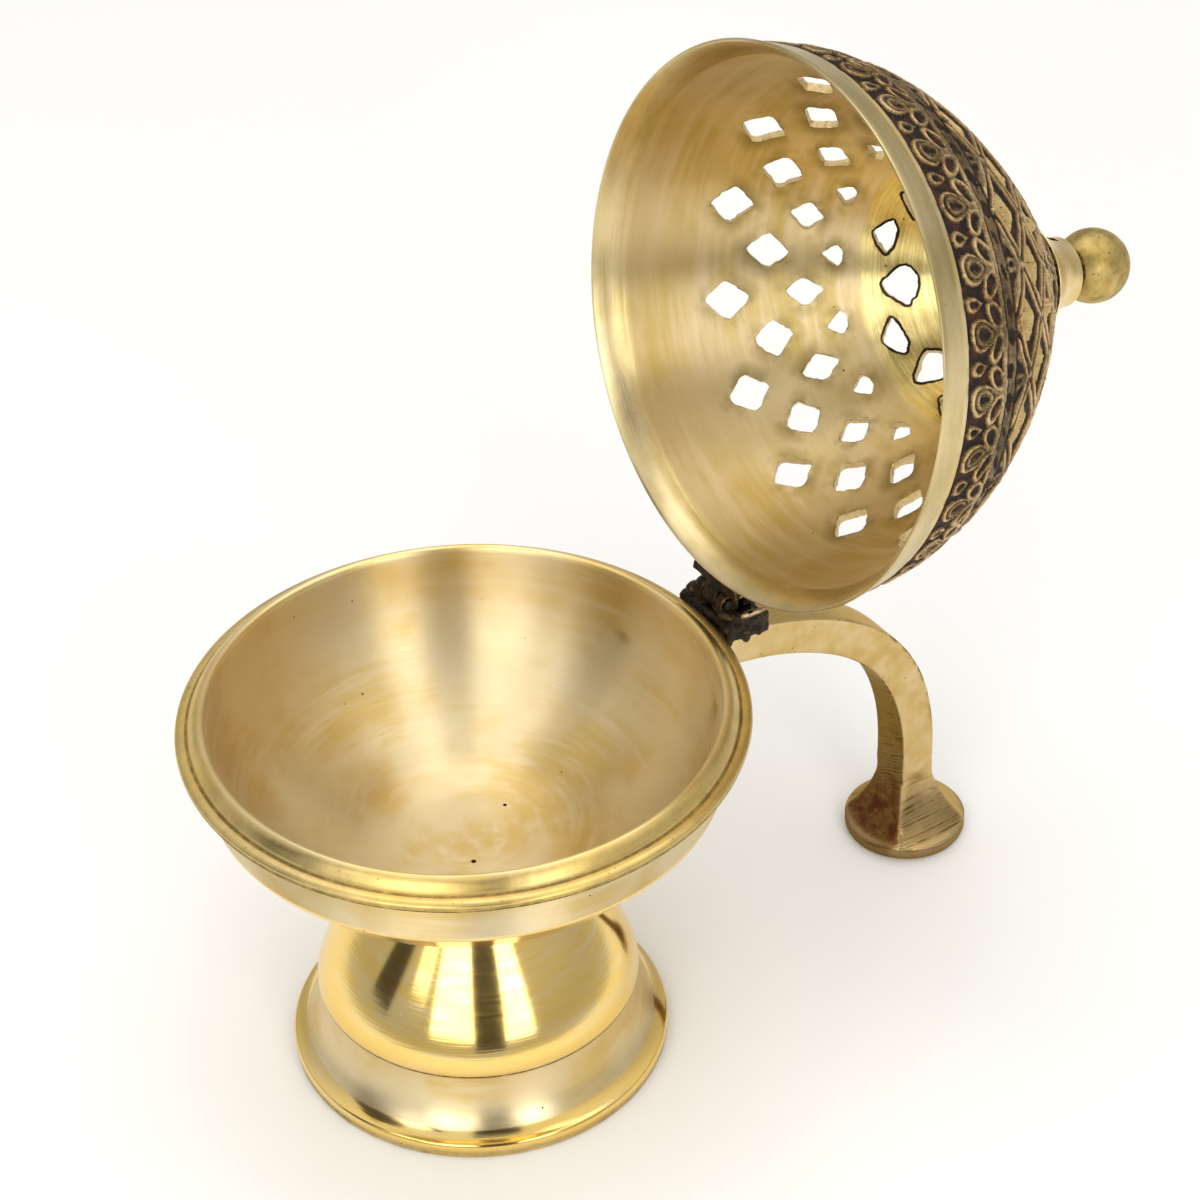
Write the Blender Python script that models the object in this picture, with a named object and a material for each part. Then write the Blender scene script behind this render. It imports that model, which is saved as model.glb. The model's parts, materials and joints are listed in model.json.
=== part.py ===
"""Footed brass incense censer with a hinged, pierced dome lid.

Millimetres are used for every named size and are turned into metres where a mesh
is made. The bowl's axis is the Z axis of the parent empty "censer", the handle and
the hinge lie towards +X, and Y = 0 is the mirror plane. The lid pieces are modelled
closed, relative to the hinge pin, and the empty "lid_pivot" holds them open.
"""
from math import cos, hypot, pi, radians, sin

import bmesh
import bpy
from mathutils import Matrix, Vector

MM = 0.001
GAP = 0.3                      # clearance kept between neighbouring pieces
SEGMENTS = 44                  # facets of a large turned piece

# Bowl
FLANGE_RADIUS = 51.0
FLANGE_TOP = 75.9
FLANGE_THICKNESS = 1.8
LIP_RADIUS = 46.5              # crest of the raised ring inside the flange
LIP_TOP = 78.6
WALL_TOP_RADIUS = 47.3         # outer wall just under the flange
WALL_TOP = 72.2
WALL_FOOT_RADIUS = 46.2        # arris where the wall turns in under the bowl
WALL_FOOT = 63.4
INSIDE_RADIUS = 45.4
INSIDE_DEPTH = 28.8
BELLY_RADIUS = 47.4            # outer curve of the underside
BELLY_DEPTH = 31.6
BELLY_TOP = 76.5
BELLY_POWER = 2.4              # superellipse power, inside and out
NECK_RADIUS = 13.8
NECK_JOINT = 40.8              # plane where the bowl meets the foot

# Foot
FOOT_RADIUS = 34.8
FOOT_EDGE_RADIUS = 35.3
FOOT_EDGE = 2.9
SKIRT_RADIUS = 29.3
BULGE_RADIUS = 29.9
BULGE_ARRIS = 15.8
BULGE_CURVE = ((20.4, 32.3), (29.3, 22.5))  # control points of the bulge's outline
BULGE_SHOULDER = (19.2, 30.0)  # radius and height of the corner inside the hollow
FOOT_WALL = 2.6
FOOT_WEB = 36.6                # underside of the web that the screw clamps

# Foot screw
SCREW_RADIUS = 2.5
SCREW_END = 45.6
SCREW_HEAD_RADIUS = 4.6
SCREW_HEAD_HEIGHT = 2.6
WASHER_RADIUS = 6.5
WASHER_THICKNESS = 1.0

# Handle
BAR_HALF_WIDTH = 4.35
BAR_HALF_DEPTH = 3.8
BAR_POWER = 9                  # superellipse power of the bar's rounded-square section
DISC_POWER = 2                 # and of the round disc that it flares into
HANDLE_START = (48.5, 68.6)    # x, z of the centre line's Bezier points
HANDLE_PULL_OUT = (84.5, 64.5)
HANDLE_PULL_DOWN = (101.5, 47.5)
HANDLE_END = (100.4, 18.0)
DISC_CENTRE = 101.0
DISC_RADIUS = 12.0
DISC_EDGE = 2.0
SADDLE_THICKNESS = 2.2
SADDLE_HALF_ANGLE = radians(26.5)
SADDLE_BOTTOM = 64.0
SADDLE_TOP = 72.0
RIVET_RADIUS = 1.5
# name, angle from the handle's plane and height: the holes were drilled by eye
HANDLE_RIVETS = (
    ("handle_rivet_left", radians(16.5), 67.0),
    ("handle_rivet_right", radians(-21.5), 69.7),
)

# Hinge
PIVOT_X = 54.71
PIVOT_Z = 77.90
PIVOT = (PIVOT_X, 0.0, PIVOT_Z)
PIN_RADIUS = 1.0
KNUCKLE_RADIUS = 2.05
LID_KNUCKLE_HALF = 1.8
BRACKET_KNUCKLE_HALF = 4.1
BRACKET_HALF_WIDTH = 7.6
BRACKET_FRONT = 51.8
BRACKET_BACK = 61.2
BRACKET_TOP = 75.5
STOP_FRONT = 57.8
STOP_BACK = 60.6
BRACKET_RIVET_X = 55.9
BRACKET_RIVET_RADIUS = 1.2

# Lid, heights measured from its mouth along its axis
OPEN_ANGLE = radians(100.9)
MOUTH_Z = 76.2                 # height of the closed lid's mouth
MOUTH_RADIUS = 50.6
MOUTH_LAND = 0.5
BEVEL_RADIUS = 47.3
BEVEL_HEIGHT = 5.3
BAND_HEIGHT = 6.5
BAND_RADIUS = 49.1
DOME_CURVE = ((49.1, 6.5), (46.0, 30.0), (28.5, 43.0), (10.6, 60.4))
DOME_WALL = 2.0
DOME_CROWN = 3.4               # thickness of the flat crown
LATTICE_CELLS = 14
LATTICE_PHASE = radians(2.6)
# height, half height, half angle, cell offset (0 or half a cell), cells from hole to hole
DIAMOND_ROWS = (
    (25.4, 3.7, radians(5.0), 0.5, 1),
    (31.8, 3.1, radians(5.2), 0.0, 1),
    (37.2, 2.6, radians(4.8), 0.5, 1),
)
KITE_ROWS = (
    (41.2, 1.4, radians(4.3), 0.0, 1),
    (50.0, 2.3, radians(10.5), 0.5, 2),
    (47.7, 1.5, radians(9.0), 1.5, 2),
)

# Lug between the lid's band and the pin
LUG_HALF_ANGLE = radians(7.4)
LUG_THICKNESS = 1.9
LUG_RIVET_ANGLE = radians(5.8)
LUG_RIVET_HEIGHT = 3.4
LUG_RIVET_RADIUS = 0.8

# Finial
STUD_RADIUS = 2.0
COLLAR_BASE_RADIUS = 11.4
COLLAR_END_RADIUS = 6.6
COLLAR_BASE = 60.7
COLLAR_END = 70.9
BALL_CENTRE = 78.95
BALL_RADIUS = 7.1
NUT_RADIUS = 4.2
NUT_HEIGHT = 2.6

# The bowl's axis stands this far towards -X, so the open censer's box is centred
AXIS_OFFSET = 48.5


def clear_scene():
    for item in list(bpy.data.objects):
        bpy.data.objects.remove(item, do_unlink=True)


def brass(name, colour, roughness):
    material = bpy.data.materials.new(name)
    material.use_nodes = True
    shader = material.node_tree.nodes["Principled BSDF"]
    shader.inputs["Base Color"].default_value = (*colour, 1.0)
    shader.inputs["Roughness"].default_value = roughness
    shader.inputs["Metallic"].default_value = 1.0
    return material


def add_empty(name, location, parent=None):
    empty = bpy.data.objects.new(name, None)
    empty.location = Vector(location) * MM
    empty.parent = parent
    bpy.context.collection.objects.link(empty)
    return empty


def add_object(name, bm, material=None, parent=None, origin=(0.0, 0.0, 0.0)):
    """Turn a bmesh in millimetres into an object whose own origin is at origin."""
    bmesh.ops.translate(bm, verts=bm.verts, vec=-Vector(origin))
    bmesh.ops.scale(bm, verts=bm.verts, vec=(MM, MM, MM))
    bmesh.ops.recalc_face_normals(bm, faces=bm.faces)
    mesh = bpy.data.meshes.new(name)
    bm.to_mesh(mesh)
    bm.free()
    mesh.shade_smooth()
    mesh.set_sharp_from_angle(angle=radians(32))
    item = bpy.data.objects.new(name, mesh)
    bpy.context.collection.objects.link(item)
    if material is not None:
        mesh.materials.append(material)
    item.parent = parent
    return item


def modify(item, tool, operation):
    """Cut item by tool, or join them, and leave the tool out of the model."""
    boolean = item.modifiers.new(tool.name, "BOOLEAN")
    boolean.operation = operation
    boolean.solver = "EXACT"
    boolean.object = tool
    tool.parent = item.parent
    tool.hide_render = True
    tool.display_type = "WIRE"


# ---------------------------------------------------------------- mesh builders

def bridge(bm, lower, upper, closed=True):
    count = len(lower)
    for i in range(count if closed else count - 1):
        j = (i + 1) % count
        corners = []
        for vert in (lower[i], lower[j], upper[j], upper[i]):
            if vert not in corners:
                corners.append(vert)
        if len(corners) > 2:
            bm.faces.new(corners)


def turned(section, segments):
    """Revolve a closed (radius, height) section about Z; radius 0 is a pole."""
    bm = bmesh.new()
    rings = []
    for radius, height in section:
        if radius < 1e-6:
            rings.append([bm.verts.new((0.0, 0.0, height))] * segments)
            continue
        angles = [2 * pi * k / segments for k in range(segments)]
        rings.append([bm.verts.new((radius * cos(a), radius * sin(a), height)) for a in angles])
    for k, ring in enumerate(rings):
        after = rings[(k + 1) % len(rings)]
        if ring[0] is not ring[1] or after[0] is not after[1]:
            bridge(bm, ring, after)
    return bm


def lofted(rings):
    """Join rings of points into a closed solid with flat ends."""
    bm = bmesh.new()
    loops = [[bm.verts.new(point) for point in ring] for ring in rings]
    for lower, upper in zip(loops, loops[1:]):
        bridge(bm, lower, upper)
    bm.faces.new(loops[0])
    bm.faces.new(loops[-1])
    return bm


def rod(radius, start, end, segments=16):
    """A cylinder between two points."""
    start, end = Vector(start), Vector(end)
    turn = (end - start).to_track_quat("Z", "Y").to_matrix()
    rings = []
    for centre in (start, end):
        ring = []
        for k in range(segments):
            angle = 2 * pi * k / segments
            ring.append(centre + turn @ Vector((radius * cos(angle), radius * sin(angle), 0)))
        rings.append(ring)
    return lofted(rings)


def radial_rod(angle, height, radius, start, end):
    """A level rod that points away from the bowl's axis."""
    across = Matrix.Rotation(angle, 3, "Z") @ Vector((1, 0, 0))
    level = Vector((0, 0, height))
    return rod(radius, across * start + level, across * end + level, 12)


def stepped_rod(steps, start, direction, segments=16):
    """A turned pin: steps are (distance along the pin, radius)."""
    turn = Vector(direction).to_track_quat("Z", "Y").to_matrix()
    rings = []
    for distance, radius in steps:
        ring = []
        for k in range(segments):
            angle = 2 * pi * k / segments
            spot = Vector((radius * cos(angle), radius * sin(angle), distance))
            ring.append(Vector(start) + turn @ spot)
        rings.append(ring)
    return lofted(rings)


def extruded(outline, half_width):
    """Extrude an (x, z) outline along Y, equally to both sides."""
    sides = [[(x, y, z) for x, z in outline] for y in (-half_width, half_width)]
    return lofted(sides)


def sector(surface, heights, half_angle, thickness, steps=8):
    """A curved plate on a turned surface: surface(height) is its inner radius."""
    rings = []
    for k in range(steps + 1):
        angle = half_angle * (2 * k / steps - 1)
        turn = Matrix.Rotation(angle, 3, "Z")
        inner = [turn @ Vector((surface(z), 0, z)) for z in heights]
        outer = [turn @ Vector((surface(z) + thickness, 0, z)) for z in reversed(heights)]
        rings.append(inner + outer)
    return lofted(rings)


# ---------------------------------------------------------------- curves

def bezier(points, t):
    a, b, c, d = (Vector(point) for point in points)
    s = 1 - t
    return a * s ** 3 + b * 3 * s * s * t + c * 3 * s * t * t + d * t ** 3


def bezier_normal(points, t):
    """Unit normal on the outer (larger radius) side of a curve that runs upwards."""
    step = bezier(points, min(t + 0.01, 1.0)) - bezier(points, max(t - 0.01, 0.0))
    return Vector((step.y, -step.x)).normalized()


def superellipse(radius, depth, top, start, end, steps):
    """Points of a bowl curve, from angle start to end; 0 is the rim, pi / 2 the pole."""
    points = []
    for k in range(steps + 1):
        angle = start + (end - start) * k / steps
        across = radius * max(cos(angle), 0.0) ** (2 / BELLY_POWER)
        points.append((across, top - depth * sin(angle) ** (2 / BELLY_POWER)))
    return points


def mix(a, b, share):
    return a + (b - a) * share


def bowl_wall(height):
    """Outer radius of the bowl's upright wall."""
    return mix(WALL_FOOT_RADIUS, WALL_TOP_RADIUS, (height - WALL_FOOT) / (WALL_TOP - WALL_FOOT))


def lid_band(height):
    """Outer radius of the lid's plain band, height above the mouth."""
    return mix(MOUTH_RADIUS, BAND_RADIUS, height / BAND_HEIGHT)


def dome_share(height):
    """Bezier parameter at which the dome's outer curve reaches a height."""
    low, high = 0.0, 1.0
    for _ in range(30):
        middle = (low + high) / 2
        if bezier(DOME_CURVE, middle).y < height:
            low = middle
        else:
            high = middle
    return low


# ---------------------------------------------------------------- bowl and foot

def make_bowl(censer, finish):
    under = superellipse(BELLY_RADIUS, BELLY_DEPTH, BELLY_TOP, 0.62, 1.42, 6)
    inside = superellipse(INSIDE_RADIUS, INSIDE_DEPTH, BELLY_TOP, 0.0, pi / 2, 10)
    inside[-1] = (0.0, inside[-2][1])
    flange_under = FLANGE_TOP - FLANGE_THICKNESS
    section = [
        (LIP_RADIUS - 0.8, LIP_TOP - 0.5),
        (LIP_RADIUS, LIP_TOP),
        (LIP_RADIUS + 0.7, LIP_TOP - 0.4),
        (LIP_RADIUS + 1.5, LIP_TOP - 1.9),
        (LIP_RADIUS + 2.3, FLANGE_TOP - 0.2),
        (FLANGE_RADIUS - 0.6, FLANGE_TOP),
        (FLANGE_RADIUS, FLANGE_TOP - 0.5),
        (FLANGE_RADIUS, flange_under + 0.3),
        (FLANGE_RADIUS - 1.2, flange_under - 0.4),
        (WALL_TOP_RADIUS + 0.6, WALL_TOP + 0.9),
        (WALL_TOP_RADIUS, WALL_TOP),
        (WALL_FOOT_RADIUS, WALL_FOOT),
        (WALL_FOOT_RADIUS - 1.1, WALL_FOOT - 1.2),
    ]
    section += under
    section += [
        (NECK_RADIUS + 0.5, NECK_JOINT + 3.0),
        (NECK_RADIUS, NECK_JOINT + 1.4),
        (NECK_RADIUS, NECK_JOINT),
        (SCREW_RADIUS + GAP, NECK_JOINT),
        (SCREW_RADIUS + GAP, SCREW_END + GAP),
        (0.0, SCREW_END + GAP),
    ]
    section += reversed(inside)
    bowl = add_object("bowl", turned(section, SEGMENTS), finish, censer)
    for name, angle, height in HANDLE_RIVETS:
        drill = radial_rod(angle, height, RIVET_RADIUS + GAP, 38, 52)
        modify(bowl, add_object(name + "_bowl_drill", drill), "DIFFERENCE")


def make_foot(censer, finish):
    top = NECK_JOINT - GAP
    outer = [
        (SCREW_RADIUS + GAP, top),
        (NECK_RADIUS, top),
    ]
    bulge = ((NECK_RADIUS + 0.1, top - 0.6), *BULGE_CURVE, (BULGE_RADIUS, BULGE_ARRIS + 0.5))
    outer += [tuple(bezier(bulge, k / 6)) for k in range(7)]
    outer.append((BULGE_RADIUS - 0.1, BULGE_ARRIS - 0.7))
    skirt = ((SKIRT_RADIUS, BULGE_ARRIS - 1.4), (29.2, 9.0), (30.6, 5.0), (FOOT_EDGE_RADIUS, FOOT_EDGE))
    outer += [tuple(bezier(skirt, k / 5)) for k in range(6)]
    outer.append((FOOT_RADIUS, 0.0))
    inner = [
        (FOOT_RADIUS - 4.4, 0.0),
        (SKIRT_RADIUS - FOOT_WALL, 4.0),
        (SKIRT_RADIUS - FOOT_WALL - 0.6, BULGE_ARRIS),
        BULGE_SHOULDER,
        (WASHER_RADIUS + 3.0, FOOT_WEB),
        (SCREW_RADIUS + GAP, FOOT_WEB),
    ]
    add_object("foot", turned(outer + inner, SEGMENTS), finish, censer)


def make_foot_fixing(censer, finish):
    washer_top = FOOT_WEB - GAP
    washer_base = washer_top - WASHER_THICKNESS
    ring = [
        (WASHER_RADIUS, washer_base),
        (WASHER_RADIUS, washer_top),
        (SCREW_RADIUS + GAP, washer_top),
        (SCREW_RADIUS + GAP, washer_base),
    ]
    add_object("foot_washer", turned(ring, 24), finish, censer)
    head_top = washer_base - GAP
    head_base = head_top - SCREW_HEAD_HEIGHT
    shank = [
        (0.0, head_base),
        (SCREW_HEAD_RADIUS - 1.2, head_base),
        (SCREW_HEAD_RADIUS, head_base + 1.2),
        (SCREW_HEAD_RADIUS, head_top),
        (SCREW_RADIUS, head_top),
        (SCREW_RADIUS, SCREW_END - 0.5),
        (SCREW_RADIUS - 0.5, SCREW_END),
        (0.0, SCREW_END),
    ]
    screw = add_object("foot_screw", turned(shank, 24), finish, censer)
    slot = bmesh.new()
    bmesh.ops.create_cube(slot, size=1.0)
    bmesh.ops.scale(slot, verts=slot.verts, vec=(3 * SCREW_HEAD_RADIUS, 1.2, 2.4))
    bmesh.ops.translate(slot, verts=slot.verts, vec=(0, 0, head_base))
    modify(screw, add_object("screw_slot", slot), "DIFFERENCE")


# ---------------------------------------------------------------- handle

def bar_ring(centre, along, half_width, half_depth, power):
    """One cross-section: a rounded rectangle that nears an ellipse as power nears 2."""
    up = Vector((0, 1, 0)).cross(along).normalized()
    ring = []
    for k in range(16):
        angle = pi / 4 + 2 * pi * k / 16
        reach = (abs(cos(angle)) ** power + abs(sin(angle)) ** power) ** (-1 / power)
        side = Vector((0, half_width * reach * cos(angle), 0))
        ring.append(centre + side + up * (half_depth * reach * sin(angle)))
    return ring


def make_handle(censer, finish):
    path = (HANDLE_START, HANDLE_PULL_OUT, HANDLE_PULL_DOWN, HANDLE_END)
    rings = []
    bends = 14
    for k in range(bends + 1):
        here = bezier(path, k / bends)
        step = bezier(path, min(k / bends + 0.01, 1)) - bezier(path, max(k / bends - 0.01, 0))
        centre = Vector((here.x, 0, here.y))
        along = Vector((step.x, 0, step.y))
        rings.append(bar_ring(centre, along, BAR_HALF_WIDTH, BAR_HALF_DEPTH, BAR_POWER))
    down = Vector((0, 0, -1))
    flare = 5
    for k in range(1, flare + 1):
        share = k / flare
        reach = DISC_RADIUS * share ** 2.2
        centre = Vector((mix(HANDLE_END[0], DISC_CENTRE, share), 0, mix(HANDLE_END[1], DISC_EDGE, share)))
        width = max(hypot(BAR_HALF_WIDTH * (1 - share), reach), BAR_HALF_WIDTH)
        depth = max(hypot(BAR_HALF_DEPTH * (1 - share), reach), BAR_HALF_DEPTH)
        power = mix(BAR_POWER, DISC_POWER, share)
        rings.append(bar_ring(centre, down, width, depth, power))
    base = Vector((DISC_CENTRE, 0, 0))
    rings.append(bar_ring(base, down, DISC_RADIUS - 0.8, DISC_RADIUS - 0.8, DISC_POWER))
    handle = add_object("handle", lofted(rings), finish, censer)

    heights = (SADDLE_BOTTOM, SADDLE_TOP)
    plate = sector(lambda z: bowl_wall(z) + GAP, heights, SADDLE_HALF_ANGLE, SADDLE_THICKNESS)
    modify(handle, add_object("saddle", plate), "UNION")
    for name, angle, height in HANDLE_RIVETS:
        drill = radial_rod(angle, height, RIVET_RADIUS + GAP, 40, 56)
        modify(handle, add_object(name + "_saddle_drill", drill), "DIFFERENCE")
    drill = rod(BRACKET_RIVET_RADIUS + GAP, (BRACKET_RIVET_X, 0, 50), (BRACKET_RIVET_X, 0, 90), 12)
    modify(handle, add_object("handle_drill", drill), "DIFFERENCE")


def make_handle_rivets(censer, finish):
    """Rivets through the bowl's wall, filed flush inside and domed outside."""
    for name, angle, height in HANDLE_RIVETS:
        across = Matrix.Rotation(angle, 3, "Z") @ Vector((1, 0, 0))
        outside = bowl_wall(height) + GAP + SADDLE_THICKNESS + GAP
        depth = ((BELLY_TOP - height) / INSIDE_DEPTH) ** BELLY_POWER
        inside = INSIDE_RADIUS * (1 - depth) ** (1 / BELLY_POWER)
        steps = (
            (inside, RIVET_RADIUS),
            (outside, RIVET_RADIUS),
            (outside, RIVET_RADIUS + 0.9),
            (outside + 0.5, RIVET_RADIUS + 0.8),
            (outside + 0.9, RIVET_RADIUS - 0.2),
        )
        level = Vector((0, 0, height))
        add_object(name, stepped_rod(steps, level, across, 12), finish, censer)


# ---------------------------------------------------------------- hinge

def bar_top(x):
    """Height of the handle's top face above x, near its root."""
    slope = (HANDLE_PULL_OUT[1] - HANDLE_START[1]) / (HANDLE_PULL_OUT[0] - HANDLE_START[0])
    return HANDLE_START[1] + slope * (x - HANDLE_START[0]) + BAR_HALF_DEPTH * hypot(1, slope)


def knuckle_outline(base, radius, steps=12):
    """Side view of a knuckle: a round head on the pin's axis, square down to base."""
    arc = []
    for k in range(steps + 1):
        angle = pi * k / steps
        arc.append((PIVOT_X + radius * cos(angle), PIVOT_Z + radius * sin(angle)))
    return [(PIVOT_X + radius, base)] + arc + [(PIVOT_X - radius, base)]


def make_bracket(censer, finish):
    foot_gap = GAP + 0.15
    outline = [
        (BRACKET_FRONT, bar_top(BRACKET_FRONT) + foot_gap),
        (BRACKET_BACK, bar_top(BRACKET_BACK) + foot_gap),
        (BRACKET_BACK, BRACKET_TOP - 0.8),
        (BRACKET_BACK - 0.8, BRACKET_TOP),
        (BRACKET_FRONT + 0.6, BRACKET_TOP),
        (BRACKET_FRONT, BRACKET_TOP - 0.6),
    ]
    bracket = add_object("hinge_bracket", extruded(outline, BRACKET_HALF_WIDTH), finish, censer)
    inset = LID_KNUCKLE_HALF + GAP
    half = (BRACKET_KNUCKLE_HALF - inset) / 2
    for side in (-1, 1):
        knuckle = extruded(knuckle_outline(BRACKET_TOP - 1.0, KNUCKLE_RADIUS), half)
        bmesh.ops.translate(knuckle, verts=knuckle.verts, vec=(0, side * (inset + half), 0))
        modify(bracket, add_object(f"knuckle_{side}", knuckle), "UNION")
    stop_top = PIVOT_Z + LUG_CLEARANCE - GAP
    stop = [
        (STOP_FRONT, BRACKET_TOP - 1.0),
        (STOP_BACK, BRACKET_TOP - 1.0),
        (STOP_BACK, stop_top),
        (STOP_FRONT + 0.6, stop_top),
        (STOP_FRONT, stop_top - 0.6),
    ]
    modify(bracket, add_object("stop", extruded(stop, BRACKET_KNUCKLE_HALF)), "UNION")
    bore = rod(PIN_RADIUS + GAP, (PIVOT_X, -10, PIVOT_Z), (PIVOT_X, 10, PIVOT_Z), 16)
    modify(bracket, add_object("bracket_bore", bore), "DIFFERENCE")
    drill = stepped_rod(
        ((60, BRACKET_RIVET_RADIUS + GAP),
         (BRACKET_TOP - 1.6, BRACKET_RIVET_RADIUS + GAP),
         (BRACKET_TOP + 0.2, BRACKET_RIVET_RADIUS + GAP + 1.2)),
        (BRACKET_RIVET_X, 0, 0), (0, 0, 1), 16)
    modify(bracket, add_object("bracket_drill", drill), "DIFFERENCE")


def make_bracket_rivet(censer, finish):
    """Countersunk rivet that ties the bracket to the handle's root."""
    low = bar_top(BRACKET_RIVET_X) - 2 * BAR_HALF_DEPTH + 0.6
    steps = (
        (low, BRACKET_RIVET_RADIUS),
        (BRACKET_TOP - 1.6, BRACKET_RIVET_RADIUS),
        (BRACKET_TOP - 0.3, BRACKET_RIVET_RADIUS + 0.8),
    )
    rivet = stepped_rod(steps, (BRACKET_RIVET_X, 0, 0), (0, 0, 1), 16)
    add_object("bracket_rivet", rivet, finish, censer)


def make_pin(censer, finish):
    shoulder = BRACKET_KNUCKLE_HALF + GAP
    steps = (
        (-shoulder - 0.8, PIN_RADIUS - 0.1),
        (-shoulder - 0.6, PIN_RADIUS + 0.5),
        (-shoulder, PIN_RADIUS + 0.5),
        (-shoulder, PIN_RADIUS),
        (shoulder, PIN_RADIUS),
        (shoulder, PIN_RADIUS + 0.5),
        (shoulder + 0.6, PIN_RADIUS + 0.5),
        (shoulder + 0.8, PIN_RADIUS - 0.1),
    )
    pin = stepped_rod(steps, (PIVOT_X, 0, PIVOT_Z), (0, 1, 0), 16)
    add_object("hinge_pin", pin, finish, censer)


# ---------------------------------------------------------------- lid

def turned_by_opening(x, z):
    """Where a point of the closed lid lies when the lid is open."""
    dx, dz = x - PIVOT_X, z - PIVOT_Z
    return (PIVOT_X + cos(OPEN_ANGLE) * dx + sin(OPEN_ANGLE) * dz,
            PIVOT_Z - sin(OPEN_ANGLE) * dx + cos(OPEN_ANGLE) * dz)


def lug_heel():
    """Lowest point of the open lug's outer face above the stop, from the pin's axis."""
    heel = turned_by_opening(lid_band(BAND_HEIGHT) + GAP + LUG_THICKNESS, MOUTH_Z + BAND_HEIGHT)
    toe = turned_by_opening(lid_band(0) + GAP + LUG_THICKNESS, MOUTH_Z)
    return min(heel[1], toe[1]) - PIVOT_Z


LUG_CLEARANCE = lug_heel()


def hole_outline(height, half_height, half_angle, diamond):
    """Corners as (angle, height); a kite is pointed below and arched above."""
    if diamond:
        return [(0, -half_height), (half_angle, 0), (0, half_height), (-half_angle, 0)]
    return [(0, -half_height), (half_angle, half_height * 0.45), (half_angle * 0.45, half_height),
            (-half_angle * 0.45, half_height), (-half_angle, half_height * 0.45)]


def add_hole(bm, angle, height, outline):
    """A prism that runs through the dome's wall along its normal."""
    loops = ([], [])
    for turn, rise in outline:
        share = dome_share(height + rise)
        middle = bezier(DOME_CURVE, share)
        normal = bezier_normal(DOME_CURVE, share)
        for loop, depth in zip(loops, (-DOME_WALL - 1.5, 1.5)):
            radius = middle.x + normal.x * depth
            z = MOUTH_Z + middle.y + normal.y * depth
            loop.append(bm.verts.new((radius * cos(angle + turn), radius * sin(angle + turn), z)))
    bridge(bm, loops[0], loops[1])
    bm.faces.new(loops[0])
    bm.faces.new(loops[1])


def hole_cutter():
    bm = bmesh.new()
    cell = 2 * pi / LATTICE_CELLS
    for rows, diamond in ((DIAMOND_ROWS, True), (KITE_ROWS, False)):
        for height, half_height, half_angle, offset, stride in rows:
            outline = hole_outline(height, half_height, half_angle, diamond)
            for k in range(0, LATTICE_CELLS, stride):
                add_hole(bm, LATTICE_PHASE + (k + offset) * cell, height, outline)
    return bm


def make_lid(pivot, finish):
    steps = 11
    outer = [bezier(DOME_CURVE, k / steps) for k in range(steps + 1)]
    crown = DOME_CURVE[3][1]
    section = [(MOUTH_RADIUS - MOUTH_LAND, 0.0), (MOUTH_RADIUS, 0.3)]
    section += [(point.x, point.y) for point in outer]
    section += [(STUD_RADIUS + GAP, crown), (STUD_RADIUS + GAP, crown - DOME_CROWN)]
    inner = []
    for k in range(steps, -1, -1):
        share = k / steps
        point = bezier(DOME_CURVE, share) - bezier_normal(DOME_CURVE, share) * DOME_WALL
        if BEVEL_HEIGHT + 1.5 < point.y < crown - DOME_CROWN - 0.4:
            inner.append((point.x, point.y))
    section.append((inner[0][0] - 3.5, crown - DOME_CROWN))
    section += inner
    section.append((BEVEL_RADIUS, BEVEL_HEIGHT))
    section = [(radius, height + MOUTH_Z) for radius, height in section]
    lid = add_object("lid", turned(section, SEGMENTS), finish, pivot, PIVOT)
    modify(lid, add_object("lid_holes", hole_cutter(), None, None, PIVOT), "DIFFERENCE")
    for side in (-1, 1):
        drill = add_object(f"lid_drill_{side}", lug_rod(side, GAP, 40, 56), None, None, PIVOT)
        modify(lid, drill, "DIFFERENCE")


def lug_rod(side, extra, start, end):
    height = MOUTH_Z + LUG_RIVET_HEIGHT
    return radial_rod(side * LUG_RIVET_ANGLE, height, LUG_RIVET_RADIUS + extra, start, end)


def make_lug(pivot, finish):
    """Curved leaf on the lid's band with the middle knuckle of the hinge."""
    heights = (MOUTH_Z + 0.5, MOUTH_Z + BAND_HEIGHT)
    leaf = sector(lambda z: lid_band(z - MOUTH_Z) + GAP, heights, LUG_HALF_ANGLE, LUG_THICKNESS, 6)
    lug = add_object("lid_lug", leaf, finish, pivot, PIVOT)
    front = lid_band(1.0) + GAP + 0.9
    outline = [(front, PIVOT_Z - 1.1), (front, PIVOT_Z + KNUCKLE_RADIUS)]
    for k in range(11):
        angle = pi / 2 - pi * k / 10
        outline.append((PIVOT_X + KNUCKLE_RADIUS * cos(angle), PIVOT_Z + KNUCKLE_RADIUS * sin(angle)))
    knuckle = add_object("lug_knuckle", extruded(outline, LID_KNUCKLE_HALF), None, None, PIVOT)
    modify(lug, knuckle, "UNION")
    bore = rod(PIN_RADIUS + GAP, (PIVOT_X, -10, PIVOT_Z), (PIVOT_X, 10, PIVOT_Z), 16)
    modify(lug, add_object("lug_bore", bore, None, None, PIVOT), "DIFFERENCE")
    for side in (-1, 1):
        drill = add_object(f"lug_drill_{side}", lug_rod(side, GAP, 45, 56), None, None, PIVOT)
        modify(lug, drill, "DIFFERENCE")


def make_lug_rivets(pivot, finish):
    for side, name in ((-1, "lug_rivet_right"), (1, "lug_rivet_left")):
        outside = lid_band(LUG_RIVET_HEIGHT) + GAP + LUG_THICKNESS
        rivet = lug_rod(side, 0.0, 48.6, outside)
        add_object(name, rivet, finish, pivot, PIVOT)


# ---------------------------------------------------------------- finial

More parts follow.
